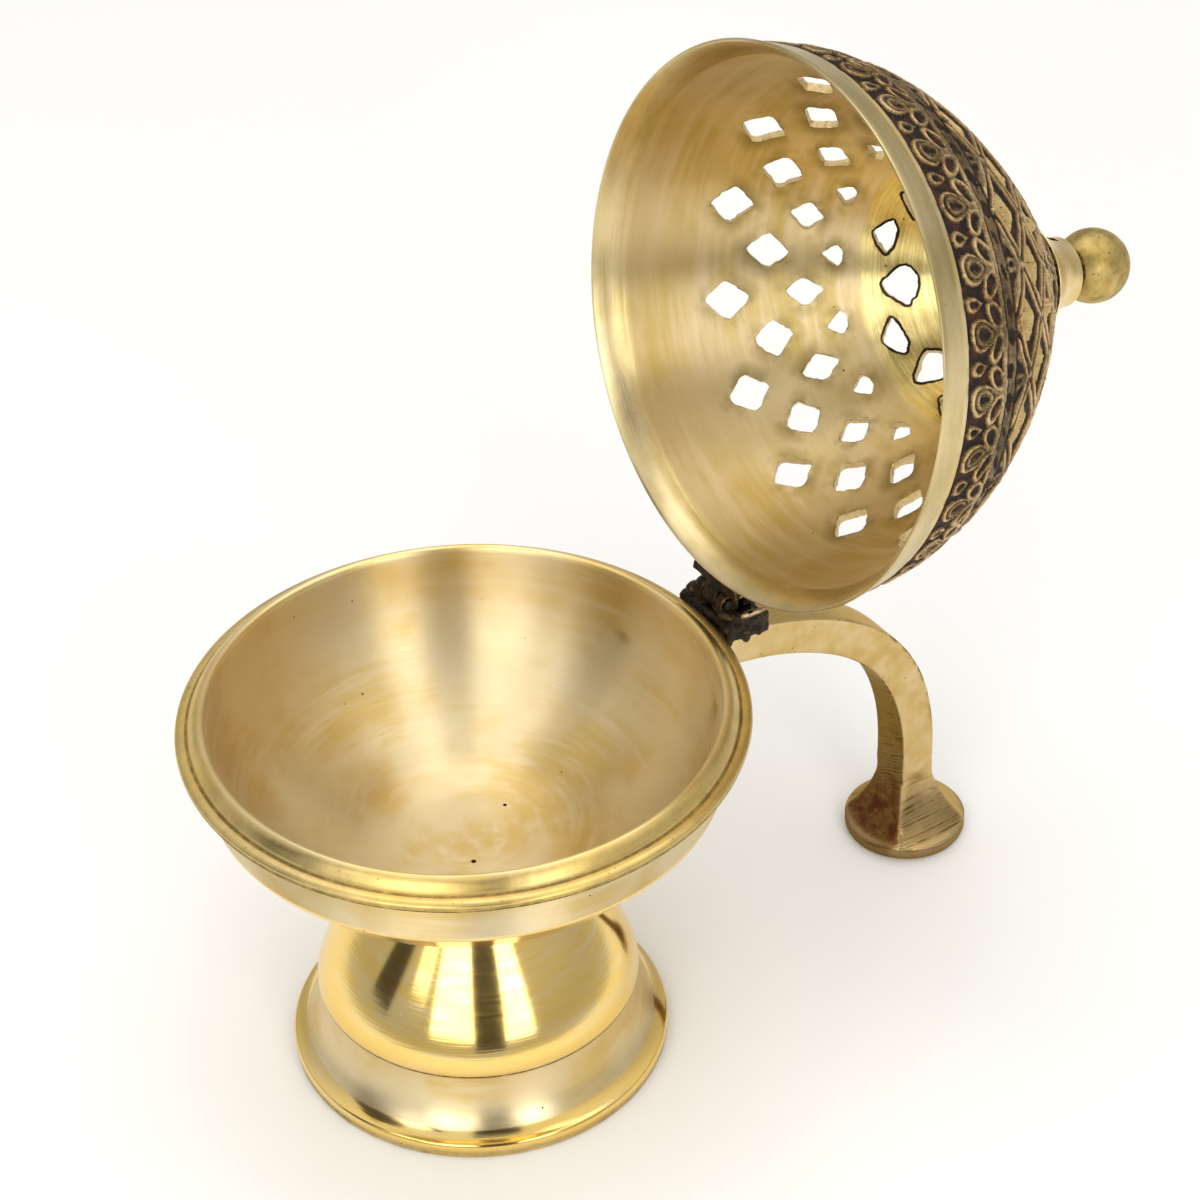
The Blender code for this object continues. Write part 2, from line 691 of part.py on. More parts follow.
def make_finial(pivot, collar_finish, ball_finish):
    base = MOUTH_Z + COLLAR_BASE
    end = MOUTH_Z + COLLAR_END
    flare = ((COLLAR_BASE_RADIUS, base + 0.5), (8.4, base + 2.6), (6.8, base + 5.6), (COLLAR_END_RADIUS, end - 0.6))
    section = [(STUD_RADIUS + GAP, base), (COLLAR_BASE_RADIUS - 0.3, base)]
    section += [tuple(bezier(flare, k / 6)) for k in range(7)]
    section += [(COLLAR_END_RADIUS - 0.6, end), (STUD_RADIUS + GAP, end)]
    add_object("finial_collar", turned(section, 32), collar_finish, pivot, PIVOT)

    centre = MOUTH_Z + BALL_CENTRE
    neck = 3.2
    start = -pi / 2 + 0.46
    stud_end = MOUTH_Z + DOME_CURVE[3][1] - DOME_CROWN - NUT_HEIGHT - 1.2
    section = [
        (0.0, stud_end),
        (STUD_RADIUS - 0.4, stud_end),
        (STUD_RADIUS, stud_end + 0.4),
        (STUD_RADIUS, end + GAP),
        (neck, end + GAP),
    ]
    for k in range(13):
        angle = mix(start, pi / 2, k / 12)
        section.append((max(BALL_RADIUS * cos(angle), 0.0), centre + BALL_RADIUS * sin(angle)))
    section[-1] = (0.0, centre + BALL_RADIUS)
    add_object("finial_ball", turned(section, 28), ball_finish, pivot, PIVOT)

    nut_top = MOUTH_Z + DOME_CURVE[3][1] - DOME_CROWN - GAP
    nut = [
        (NUT_RADIUS, nut_top - NUT_HEIGHT),
        (NUT_RADIUS, nut_top),
        (STUD_RADIUS + GAP, nut_top),
        (STUD_RADIUS + GAP, nut_top - NUT_HEIGHT),
    ]
    add_object("finial_nut", turned(nut, 6), collar_finish, pivot, PIVOT)


def main():
    clear_scene()
    satin = brass("satin_brass", (0.66, 0.47, 0.22), 0.32)
    polished = brass("polished_brass", (0.72, 0.50, 0.17), 0.12)
    filed = brass("filed_brass", (0.62, 0.45, 0.20), 0.42)
    dark = brass("blackened_brass", (0.06, 0.045, 0.03), 0.6)
    antique = brass("antique_brass", (0.30, 0.21, 0.09), 0.4)
    screw = brass("screw_brass", (0.55, 0.42, 0.2), 0.35)

    censer = add_empty("censer", (-AXIS_OFFSET, 0, 0))
    lid_pivot = add_empty("lid_pivot", PIVOT, censer)
    lid_pivot.rotation_euler = (0, OPEN_ANGLE, 0)

    make_bowl(censer, satin)
    make_foot(censer, polished)
    make_foot_fixing(censer, screw)
    make_handle(censer, filed)
    make_handle_rivets(censer, satin)
    make_bracket(censer, dark)
    make_bracket_rivet(censer, dark)
    make_pin(censer, dark)
    make_lid(lid_pivot, satin)
    make_lug(lid_pivot, dark)
    make_lug_rivets(lid_pivot, dark)
    make_finial(lid_pivot, satin, antique)


main()
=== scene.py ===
"""Finished look of the footed brass censer: fine meshes, materials, studio and camera.

Sizes are millimetres unless a name says otherwise. A turned piece is an outline of
(radius, height) corners about its own Z axis: the bowl's axis for the base pieces, the
dome's axis, measured from its mouth, for the lid pieces. Where these axes lie, the hinge
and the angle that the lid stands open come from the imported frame.
"""
import json
from math import cos, hypot, pi, radians, sin

import bmesh
import bpy
import numpy as np
from mathutils import Matrix, Vector, noise
from mathutils.kdtree import KDTree


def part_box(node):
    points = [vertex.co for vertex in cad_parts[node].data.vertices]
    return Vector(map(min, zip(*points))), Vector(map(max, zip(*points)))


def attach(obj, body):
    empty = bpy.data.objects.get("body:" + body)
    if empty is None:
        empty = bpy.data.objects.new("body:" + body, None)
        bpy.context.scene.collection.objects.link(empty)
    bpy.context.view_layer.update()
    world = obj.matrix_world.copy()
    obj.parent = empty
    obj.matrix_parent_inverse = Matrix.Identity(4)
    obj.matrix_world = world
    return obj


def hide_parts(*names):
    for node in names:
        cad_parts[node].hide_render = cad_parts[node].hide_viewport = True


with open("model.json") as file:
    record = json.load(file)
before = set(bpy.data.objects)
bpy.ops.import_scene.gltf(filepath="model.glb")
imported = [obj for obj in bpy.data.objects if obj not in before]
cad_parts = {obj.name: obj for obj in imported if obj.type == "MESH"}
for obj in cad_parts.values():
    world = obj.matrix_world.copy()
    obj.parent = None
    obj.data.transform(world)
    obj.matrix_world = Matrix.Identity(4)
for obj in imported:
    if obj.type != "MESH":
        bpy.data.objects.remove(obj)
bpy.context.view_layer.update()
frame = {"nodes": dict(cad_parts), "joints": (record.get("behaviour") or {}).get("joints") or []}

MM = 0.001

# ---------------- places from the frame

JOINT = frame["joints"][0]
PIVOT = Vector(JOINT["pos_m"])
OPEN_ANGLE = -radians(JOINT["range_deg"][0])
BOWL_LOW, BOWL_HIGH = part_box("bowl")
CENTRE = (BOWL_LOW + BOWL_HIGH) / 2
BOWL_AXIS = Vector((CENTRE.x, CENTRE.y, 0.0))
FLANGE_RADIUS = (BOWL_HIGH.y - BOWL_LOW.y) / 2 / MM
MOUTH_Z = 76.2                 # height of the closed lid's mouth over the table

CENSER = Matrix.Translation(BOWL_AXIS)
LID_CLOSED = Matrix.Translation(BOWL_AXIS + Vector((0, 0, MOUTH_Z * MM)))
LID_TURN = Matrix.Rotation(OPEN_ANGLE, 4, "Y")
LID = Matrix.Translation(PIVOT) @ LID_TURN @ Matrix.Translation(-PIVOT) @ LID_CLOSED

# ---------------- sizes

ROUND = 288                    # facets of a large turned piece
GAP = 0.3                      # clearance between fitted faces
LIP_RADIUS = 46.5
LIP_TOP = 78.6
FLANGE_TOP = 75.9
FLANGE_THICKNESS = 1.8
WALL_TOP_RADIUS = 47.3
WALL_FOOT_RADIUS = 46.2
WALL_TOP = 72.2
WALL_FOOT = 63.4
INSIDE_RADIUS = 45.4
INSIDE_DEPTH = 28.8
FLOOR_RADIUS = 9.5             # flat middle of the bowl's floor
BELLY_RADIUS = 47.4
BELLY_DEPTH = 31.6
BELLY_TOP = 76.5
BELLY_POWER = 2.4
NECK_RADIUS = 13.8
NECK_JOINT = 40.8
SCREW_RADIUS = 2.5
SCREW_HOLE = SCREW_RADIUS + GAP
SCREW_END = 45.6
SCREW_HEAD_RADIUS = 4.6
SCREW_HEAD_HEIGHT = 2.6
WASHER_RADIUS = 6.5
WASHER_THICKNESS = 1.0

FOOT_RADIUS = 34.8
FOOT_EDGE_RADIUS = 35.3
SKIRT_TOP_RADIUS = 29.3
BULGE_RADIUS = 29.95
BULGE_ARRIS = 15.8
FOOT_WEB = 36.6

HANDLE_PATH = ((48.5, 68.6), (84.5, 64.5), (101.5, 47.5), (100.4, 18.0))
BAR_HALF_WIDTH = 4.35
BAR_HALF_DEPTH = 3.8
DISC_CENTRE = 101.0
DISC_RADIUS = 12.0
DISC_TOP = 2.9
# height and inset of the rings round the disc's edge
DISC_RIM = ((2.5, 0.3), (2.0, 0.05), (1.2, 0.0), (0.5, 0.3), (0.0, 1.1))
# angle, height, size and depth of the dents; places and sizes of two pits in the floor
DENTS = ((radians(16.5), 66.6, 2.0, 0.25), (radians(-23.4), 70.4, 2.6, 0.60))
FLOOR_PITS = (((9.1, 2.7, 48.1), 0.45), ((-3.9, -7.2, 48.1), 0.60))
SADDLE_HALF_ANGLE = radians(26.5)
SADDLE = (64.0, 72.0)
SADDLE_THICKNESS = 2.2
RIVET_RADIUS = 1.5
RIVET_COVER = 1.15             # metal left over a rivet's end inside the bowl
HANDLE_RIVETS = (
    ("handle_rivet_left", radians(16.5), 67.0),
    ("handle_rivet_right", radians(-21.5), 69.7),
)

BAND_HEIGHT = 6.5              # plain band above the lid's mouth
MOUTH_RADIUS = 50.6
BEVEL_RADIUS = 47.3
BEVEL_HEIGHT = 5.3
DOME_CURVE = ((49.1, BAND_HEIGHT), (46.0, 30.0), (28.5, 43.0), (10.6, 60.4))
DOME_WALL = 2.0
CROWN_INSIDE = 57.0
CROWN_STEP = 45.3              # fine step where the crown's coarse turning starts
STUD_RADIUS = 2.0
STUD_END = 52.2
STUD_HOLE = STUD_RADIUS + GAP
DOME_COLUMNS = 896
DOME_ROWS = 200
INSIDE_SLOT, RELIEF_SLOT, HOLE_SLOT = range(3)  # the lid's materials

LATTICE_CELLS = 14
LATTICE_PHASE = radians(2.6)
CELL = 2 * pi / LATTICE_CELLS
LATTICE_HEIGHTS = (20.4, 25.5, 31.8, 37.2, 41.3, 44.6)
RING_TOP = 43.9
# height, half height, half angle, cell offset (0 or half a cell), cells from hole to hole
DIAMOND_ROWS = (
    (25.4, 3.7, radians(5.0), 0.5, 1),
    (31.8, 3.1, radians(5.2), 0.0, 1),
    (37.2, 2.6, radians(4.8), 0.5, 1),
)
KITE_ROWS = (
    (41.2, 1.4, radians(4.3), 0.0, 1),
    (50.0, 2.3, radians(10.5), 0.5, 2),
    (47.7, 1.5, radians(9.0), 1.5, 2),
)

PIN_RADIUS = 1.0
PIN_SHOULDER = 4.4             # half the length between the pin's peened heads
BRACKET_RIVET_RADIUS = 1.2
LUG_RIVET_RADIUS = 0.8
LUG_RIVET_REACH = (48.6, 52.0)
LUG_RIVET_ANGLE = radians(5.8)
LUG_RIVET_HEIGHT = 3.4

COLLAR = (60.7, 70.9)
COLLAR_BASE_RADIUS = 11.4
COLLAR_END_RADIUS = 6.6
NUT_RADIUS = 4.2
NUT_HEIGHT = 2.6
BALL_CENTRE = 78.95
BALL_RADIUS = 7.1

FLOOR_SIZE = 8.0               # studio sizes are in metres
FLOOR_DROP = 0.0001
AIM_HEIGHT = 0.07              # height that the lights and cards face
# name, azimuth and elevation in degrees, distance, width, height, radiance
SOFTBOXES = (
    ("right_softbox", -98, 27, 0.95, 0.37, 0.56, 3.3),
    ("key_softbox", -142, 28, 0.95, 0.50, 0.56, 3.0),
    ("left_softbox", -171, 36, 0.95, 0.20, 0.50, 1.6),
    ("top_softbox", 40, 78, 1.1, 1.1, 0.8, 1.3),
)
# the same, with a colour instead of the radiance
CARDS = (
    ("middle_gap", -118, 34, 0.80, 0.30, 0.95, (0.03, 0.028, 0.025)),
    ("small_gap", -159, 44, 0.82, 0.05, 0.30, (0.04, 0.037, 0.03)),
    ("dark_left", 164, 30, 0.85, 0.26, 0.70, (0.05, 0.045, 0.04)),
)
SKY = ((0.0, 0.58), (0.20, 0.48), (0.50, 0.60), (0.80, 0.90))  # rise and brightness
SKY_TINT = (1.0, 0.985, 0.955)

CAMERA_TURN, CAMERA_RISE, CAMERA_ROLL = radians(-30.05), radians(40.458), radians(-1.589)
CAMERA_DISTANCE = 12.457       # in flange radii
CAMERA_AIM = (0.04075, 0.06018)  # how far to the right and up the view leans
CAMERA_LENS = 105.2
CAMERA_SENSOR = 36.0


# ---------------- curves and outlines

def mix(a, b, share):
    return a + (b - a) * share


def bezier(points, t):
    a, b, c, d = (Vector(point) for point in points)
    s = 1 - t
    return a * s ** 3 + b * 3 * s * s * t + c * 3 * s * t * t + d * t ** 3


def bezier_normal(points, t):
    """Unit normal on the outer side of a curve that runs upwards."""
    step = bezier(points, min(t + 0.01, 1.0)) - bezier(points, max(t - 0.01, 0.0))
    return Vector((step.y, -step.x)).normalized()


def even_shares(points, count):
    """Bezier parameters of count points spaced evenly along the curve."""
    fine = np.linspace(0.0, 1.0, 600)
    places = np.array([bezier(points, t) for t in fine])
    run = np.r_[0.0, np.cumsum(np.hypot(*np.diff(places, axis=0).T))]
    return np.interp(np.linspace(0.0, run[-1], count), run, fine)


def superellipse(radius, depth, start, end, steps, zone):
    """Corners of a bowl curve, from angle start to end; 0 is the rim, pi / 2 the pole."""
    corners = []
    for k in range(steps + 1):
        angle = mix(start, end, k / steps)
        across = radius * max(cos(angle), 0.0) ** (2 / BELLY_POWER)
        corners.append((across, BELLY_TOP - depth * sin(angle) ** (2 / BELLY_POWER), 0, zone))
    return corners


# zone: satin, aged and grimy share of the finish
ZONES = {
    "polish": (0.0, 0.0, 0.0),
    "satin": (1.0, 0.0, 0.0),
    "worn": (0.65, 0.1, 0.0),
    "rim": (0.30, 0.55, 0.0),
    "line": (0.6, 0.9, 0.35),
    "aged": (0.8, 1.0, 0.1),
    "crevice": (1.0, 1.0, 1.0),
}
ZONE_NAMES = ("satin", "aged", "grime")


def rounded(corners, closed=False, steps=5):
    """Outline rows (radius, height, zone shares), each corner eased by its fillet."""
    rows = []
    count = len(corners)
    for k, (radius, height, fillet, zone) in enumerate(corners):
        here = Vector((radius, height))
        shares = ZONES[zone]
        if fillet == 0 or (not closed and k in (0, count - 1)):
            rows.append((*here, *shares))
            continue
        before = Vector(corners[k - 1][:2])
        after = Vector(corners[(k + 1) % count][:2])
        reach = min(fillet, 0.45 * (here - before).length, 0.45 * (after - here).length)
        start = here + (before - here).normalized() * reach
        end = here + (after - here).normalized() * reach
        for i in range(steps + 1):
            t = i / steps
            point = start * (1 - t) ** 2 + here * 2 * t * (1 - t) + end * t * t
            rows.append((*point, *shares))
    return rows


# ---------------- meshes

def add_object(name, data):
    item = bpy.data.objects.new(name, data)
    bpy.context.scene.collection.objects.link(item)
    return item


def read(items, key, width=1, kind=float):
    """One property of all of a mesh's vertices, edges, corners or faces, a row for each."""
    values = np.empty(len(items) * width, kind)
    items.foreach_get(key, values)
    return values.reshape(-1, width) if width > 1 else values


def finish_mesh(name, points, faces, place, sharp=35.0):
    """A smooth-shaded object, faces out, from points in millimetres."""
    mesh = bpy.data.meshes.new(name)
    mesh.from_pydata(np.asarray(points, float) * MM, [], faces)
    mesh.update()
    sides = mesh.polygons
    outward = (read(sides, "center", 3) * read(sides, "normal", 3)).sum(axis=1)
    if outward @ read(sides, "area") < 0:
        mesh.flip_normals()
    shade(mesh, sharp)
    item = add_object(name, mesh)
    item.matrix_world = place
    return item


def shade(mesh, sharp):
    mesh.shade_smooth()
    mesh.set_sharp_from_angle(angle=radians(sharp))


def set_shares(mesh, name, values):
    attribute = mesh.attributes.new(name, "FLOAT", "POINT")
    attribute.data.foreach_set("value", np.asarray(values, np.float32))


def ring_faces(first, second, count):
    """Quads between two rings of count vertices, given the index of each ring's first."""
    k = np.arange(count)
    j = (k + 1) % count
    return np.stack([first + k, first + j, second + j, second + k], axis=1).tolist()


def turned(name, corners, place, segments=ROUND, closed=False, phase=0.0):
    """Revolve an outline; its ends lie on the axis, or meet each other if closed."""
    rows = rounded(corners, closed)
    angles = phase + 2 * pi * np.arange(segments) / segments
    points, shares, starts = [], [], []
    for radius, height, *zone in rows:
        starts.append(len(points))
        around = angles if radius > 1e-6 else angles[:1]
        points += [(radius * cos(a), radius * sin(a), height) for a in around]
        shares += [zone] * len(around)
    faces = []
    last = len(rows) if closed else len(rows) - 1
    for k in range(last):
        a, b = k, (k + 1) % len(rows)
        if rows[a][0] > 1e-6 and rows[b][0] > 1e-6:
            faces += ring_faces(starts[a], starts[b], segments)
            continue
        pole, ring = (starts[a], starts[b]) if rows[a][0] <= 1e-6 else (starts[b], starts[a])
        fan = [(pole, ring + j, ring + (j + 1) % segments) for j in range(segments)]
        faces += fan if pole == starts[b] else [face[::-1] for face in fan]
    item = finish_mesh(name, points, faces, place)
    for share_name, values in zip(ZONE_NAMES, np.array(shares).T):
        set_shares(item.data, share_name, values)
    return item


def lofted(name, rings, place, sharp=35.0):
    """Join rings of points, all of one length, into a closed solid with flat ends."""
    count = len(rings[0])
    points = [point for ring in rings for point in ring]
    faces = []
    for k in range(len(rings) - 1):
        faces += ring_faces(k * count, (k + 1) * count, count)
    faces.append(list(range(count))[::-1])
    faces.append(list(range(len(points) - count, len(points))))
    return finish_mesh(name, points, faces, place, sharp)


def modified(item, kind, **settings):
    """Apply one modifier to item's mesh."""
    modifier = item.modifiers.new(kind.lower(), kind)
    for key, value in settings.items():
        setattr(modifier, key, value)
    evaluated = item.evaluated_get(bpy.context.evaluated_depsgraph_get())
    mesh = bpy.data.meshes.new_from_object(evaluated)
    item.modifiers.clear()
    item.data = mesh
    return item


def combined(item, tool, operation, sharp=35.0):
    """Cut item by tool, or join them, and take the tool away."""
    modified(item, "BOOLEAN", operation=operation, object=tool, solver="MANIFOLD",
             material_mode="TRANSFER")
    shade(item.data, sharp)
    bpy.data.objects.remove(tool)
    return item


def placed(item, finish, body, slot, *nodes):
    """Give the piece its finish and its body, and hide the CAD nodes it replaces. The slot argument is not
    used.
    """
    if finish is not None:
        item.data.materials.clear()
        item.data.materials.append(finish)
    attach(item, body)
    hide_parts(*nodes)
    return item


# ---------------- material nodes

class Shader:
    """One material, with short calls for the nodes that the finishes share."""

    def __init__(self, name, metallic=1.0):
        self.material = bpy.data.materials.new(name)
        self.material.use_nodes = True
        self.tree = self.material.node_tree
        self.surface = self.tree.nodes["Principled BSDF"]
        self.surface.inputs["Metallic"].default_value = metallic
        place = self.node("TexCoord").outputs["Object"]
        self.place = self.vector("SCALE", place, scale=1 / MM)

    def node(self, kind, **settings):
        node = self.tree.nodes.new("ShaderNode" + kind)
        for key, value in settings.items():
            setattr(node, key, value)
        return node

    def feed(self, socket, value):
        if isinstance(value, bpy.types.NodeSocket):
            self.tree.links.new(value, socket)
        else:
            socket.default_value = value

    def set(self, name, value):
        self.feed(self.surface.inputs[name], value)

    def vector(self, operation, a, b=None, scale=None):
        node = self.node("VectorMath", operation=operation)
        self.feed(node.inputs[0], a)
        if b is not None:
            self.feed(node.inputs[1], b)
        if scale is not None:
            self.feed(node.inputs["Scale"], scale)
        return node.outputs["Value" if operation == "LENGTH" else "Vector"]

    def math(self, operation, a, b=0.0, c=0.0):
        node = self.node("Math", operation=operation)
        for socket, value in zip(node.inputs, (a, b, c)):
            self.feed(socket, value)
        return node.outputs[0]

    def split(self, vector):
        node = self.node("SeparateXYZ")
        self.feed(node.inputs[0], vector)
        return node.outputs

    def join(self, x, y, z):
        node = self.node("CombineXYZ")
        for socket, value in zip(node.inputs, (x, y, z)):
            self.feed(socket, value)
        return node.outputs[0]

    def noise(self, vector, scale, detail=3.0, rough=0.55):
        node = self.node("TexNoise")
        self.feed(node.inputs["Vector"], vector)
        node.inputs["Scale"].default_value = scale
        node.inputs["Detail"].default_value = detail
        node.inputs["Roughness"].default_value = rough
        return node.outputs["Fac"]

    def specks(self, vector, scale, size, share):
        """1 on small round spots, one in each of a share of the cells."""
        node = self.node("TexVoronoi")
        self.feed(node.inputs["Vector"], vector)
        node.inputs["Scale"].default_value = scale
        near = self.ramp(node.outputs["Distance"], size, size * 0.4)
        chosen = self.ramp(self.split(node.outputs["Color"])[0], 1 - share, 1 - share + 0.02)
        return self.math("MULTIPLY", near, chosen)

    def ramp(self, value, low, high, floor=0.0, ceiling=1.0):
        """Smooth step from floor at low to ceiling at high."""
        node = self.node("MapRange", interpolation_type="SMOOTHSTEP")
        for socket, setting in zip(node.inputs, (value, low, high, floor, ceiling)):
            self.feed(socket, setting)
        return node.outputs[0]

    def times(self, a, b):
        return self.math("MULTIPLY", a, b)

    def scale_add(self, a, gain, base):
        return self.math("MULTIPLY_ADD", a, gain, base)

    def most(self, a, b):
        return self.math("MAXIMUM", a, b)

    def blend(self, share, a, b):
        node = self.node("Mix", data_type="RGBA")
        colours = [socket for socket in node.inputs if socket.type == "RGBA"]
        self.feed(node.inputs[0], share)
        for socket, colour in zip(colours, (a, b)):
            self.feed(socket, (*colour, 1.0) if isinstance(colour, tuple) else colour)
        return [socket for socket in node.outputs if socket.type == "RGBA"][0]

    def grade(self, value, low, high, a, b):
        """Colour a where value is under low, easing to b where it is over high."""
        return self.blend(self.ramp(value, low, high), a, b)

    def share(self, name):
        return self.node("Attribute", attribute_name=name).outputs["Fac"]

    def bump(self, height, depth, onto=None):
        node = self.node("Bump")
        node.inputs["Strength"].default_value = 1.0
        node.inputs["Distance"].default_value = depth * MM
        self.feed(node.inputs["Height"], height)
        if onto is not None:
            self.feed(node.inputs["Normal"], onto)
        return node.outputs["Normal"]

    def patches(self, scale, detail=3.0, rough=0.55):
        return self.noise(self.place, scale, detail, rough)

    def level_place(self):
        """The place with its height taken away, and the height."""
        x, y, z = self.split(self.place)
        return self.join(x, y, 0.0), z

    def marks(self, around, along, slope, detail=3.0, rough=0.55):
        """Noise of lathe marks: slow round the axis, quick along the outline."""
        flat, height = self.level_place()
        side = self.split(self.vector("SCALE", self.vector("NORMALIZE", flat), scale=around))
        run = self.scale_add(self.vector("LENGTH", flat), slope, height)
        place = self.join(side[0], side[1], self.times(run, along))
        return self.noise(place, 1.0, detail, rough)

    def brush_round(self, strength):
        """Stretch highlights across marks that run round the Z axis."""
        tangent = self.node("Tangent", direction_type="RADIAL", axis="Z")
        self.feed(self.surface.inputs["Tangent"], tangent.outputs[0])
        self.set("Anisotropic", strength)
        self.surface.inputs["Anisotropic Rotation"].default_value = 0.25


SATIN = (0.83, 0.695, 0.43)
SATIN_WARM = (0.74, 0.535, 0.205)
POLISHED = (0.90, 0.63, 0.19)
POLISHED_PALE = (0.89, 0.68, 0.31)
AGED = (0.58, 0.42, 0.13)
AGED_DARK = (0.36, 0.26, 0.08)
GRIME = (0.035, 0.022, 0.012)
DOME_SATIN, DOME_WARM, DOME_PALE = (0.76, 0.61, 0.33), (0.64, 0.48, 0.18), (0.82, 0.67, 0.43)
CROWN_GOLD, CROWN_DEEP = (0.95, 0.80, 0.38), (0.78, 0.61, 0.22)
BEVEL_STAIN, BURNT = (0.47, 0.37, 0.16), (0.28, 0.20, 0.06)
RELIEF_BLACK, RELIEF_RUST = (0.014, 0.009, 0.006), (0.060, 0.018, 0.009)
RELIEF_BROWN, RELIEF_TAN = (0.17, 0.115, 0.050), (0.24, 0.17, 0.085)
RIDGE_WARM, RIDGE_PALE = (0.64, 0.40, 0.15), (0.74, 0.52, 0.26)
EDGE_BLACK, EDGE_RUST, EDGE_BARE = (0.045, 0.028, 0.014), (0.13, 0.045, 0.018), (0.70, 0.55, 0.28)
CAST_BLACK, CAST_BROWN, CAST_RAISED = (0.012, 0.009, 0.006), (0.05, 0.028, 0.012), (0.10, 0.058, 0.024)
CAST_RUBBED, CAST_BARE = (0.55, 0.38, 0.16), (0.74, 0.55, 0.30)
FILED, FILED_WARM, FILED_PALE = (0.66, 0.49, 0.23), (0.57, 0.39, 0.13), (0.70, 0.54, 0.29)
# Painted shade: the first colour below darkens the handle's leg and flare where shade falls.
FILED_PAINTED_SHADE, FILED_GROOVE = (0.22, 0.14, 0.055), (0.12, 0.075, 0.022)
STAIN_RED, STAIN_BROWN = (0.12, 0.035, 0.015), (0.23, 0.14, 0.045)

# satin and polished roughness, slope and stretch of the lathe marks, and their depth
TURNED_FINISHES = {
    "bowl": (0.43, 0.17, 1.0, 0.99, 1.0),
    "foot": (0.34, 0.13, -0.6, 0.85, 0.8),
    "collar": (0.30, 0.15, -0.6, 0.70, 1.0),
    "ball": (0.32, 0.20, -0.5, 0.60, 1.6),
    "fastener": (0.34, 0.22, 0.5, 0.3, 1.0),
}


def turned_brass(name, pits=()):
    """Lathe-finished brass that follows its zone shares: polish, satin, aged, grimy."""
    satin_rough, polish_rough, slope, stretch, depth = TURNED_FINISHES[name]
    s = Shader(name + "_turned")
    satin, aged, grime = (s.share(share) for share in ZONE_NAMES)
    cloud = s.patches(0.05, 3)
    smear = s.marks(1.6, 0.35, slope, 4)
    fine = s.marks(2.6, 7.0, slope, 5, 0.7)
    coarse = s.marks(1.3, 1.8, slope, 3)

    pale = s.grade(cloud, 0.35, 0.65, SATIN, SATIN_WARM)
    pale = s.grade(smear, 0.40, 0.80, pale, SATIN)
    bright = s.grade(smear, 0.4, 0.7, POLISHED, POLISHED_PALE)
    colour = s.blend(satin, bright, pale)
    old = s.grade(s.patches(0.35, 5, 0.65), 0.38, 0.66, AGED, AGED_DARK)
    tarnish = s.times(aged, s.ramp(smear, 0.25, 0.6, 0.45, 1.0))
    colour = s.blend(tarnish, colour, old)
    dirt = s.times(grime, s.ramp(s.patches(0.6, 5, 0.7), 0.35, 0.55, 0.25, 1.0))
    flaws = s.specks(s.place, 0.22, 0.05, 0.35)
    for spot, size in pits:
        away = s.vector("LENGTH", s.vector("SUBTRACT", s.place, spot))
        flaws = s.most(flaws, s.ramp(away, size, 0.6 * size))
    aged_pits = s.times(s.specks(s.place, 0.75, 0.14, 0.30), aged)
    spots = s.most(s.most(flaws, aged_pits), dirt)
    s.set("Base Color", s.blend(spots, colour, GRIME))

    rough = s.scale_add(satin, satin_rough - polish_rough, polish_rough)
    rough = s.scale_add(s.ramp(fine, 0.3, 0.7, -0.5, 0.5), 0.10, rough)
    rough = s.scale_add(aged, 0.16, rough)
    s.set("Roughness", s.scale_add(spots, 0.4, rough))
    relief = s.times(fine, s.scale_add(satin, 0.8, 0.2))
    normal = s.bump(relief, 0.012 * depth)
    normal = s.bump(coarse, 0.02 * depth, normal)
    s.set("Normal", s.bump(s.math("SUBTRACT", 1.0, spots), 0.06, normal))
    away = s.vector("LENGTH", s.level_place()[0])
    brushed = s.scale_add(satin, 0.6, 0.4)
    s.brush_round(s.times(brushed, s.ramp(away, 2.0, 22.0, 0.0, stretch)))
    return s.material


def lid_inside_brass():
    """Satin dome with a yellower, coarsely turned crown and stained edges."""
    s = Shader("lid_satin")
    height = s.split(s.place)[2]
    wobble = s.patches(0.12, 2)
    crown = s.ramp(s.scale_add(wobble, 2.0, height), CROWN_STEP - 1.2, CROWN_STEP + 0.2)
    band = s.ramp(height, BEVEL_HEIGHT + 0.4, BEVEL_HEIGHT - 0.1)
    cloud = s.patches(0.045, 3)
    smear = s.marks(1.7, 0.30, -1.0, 4)
    fine = s.marks(2.4, 6.5, -1.0, 5, 0.7)
    rings = s.marks(0.8, 1.5, -1.0, 4, 0.6)

    satin = s.grade(cloud, 0.38, 0.62, DOME_SATIN, DOME_WARM)
    satin = s.grade(smear, 0.35, 0.8, satin, DOME_PALE)
    gold = s.grade(rings, 0.35, 0.62, CROWN_GOLD, CROWN_DEEP)
    colour = s.blend(crown, satin, gold)
    smudge = s.ramp(s.marks(2.2, 0.12, 0.0, 4, 0.6), 0.40, 0.66, 0.30, 0.90)
    colour = s.blend(s.times(smudge, band), colour, BEVEL_STAIN)
    near = s.share("edge")
    burn = s.times(near, s.ramp(s.patches(0.16, 3), 0.40, 0.62, 0.0, 0.75))
    colour = s.blend(burn, colour, BURNT)
    singe = s.scale_add(s.patches(0.35, 4), 0.50, s.share("singe"))
    colour = s.grade(singe, 0.84, 1.0, colour, GRIME)
    pits = s.specks(s.place, 0.20, 0.06, 0.30)
    colour = s.blend(pits, colour, GRIME)
    s.set("Base Color", colour)

    rough = s.ramp(fine, 0.3, 0.7, 0.32, 0.44)
    rough = s.scale_add(band, -0.07, rough)
    s.set("Roughness", s.scale_add(crown, -0.10, rough))
    normal = s.bump(fine, 0.012)
    normal = s.bump(s.times(rings, s.scale_add(crown, 0.9, 0.1)), 0.12, normal)
    s.set("Normal", normal)
    s.brush_round(s.scale_add(band, -0.5, 0.93))
    return s.material


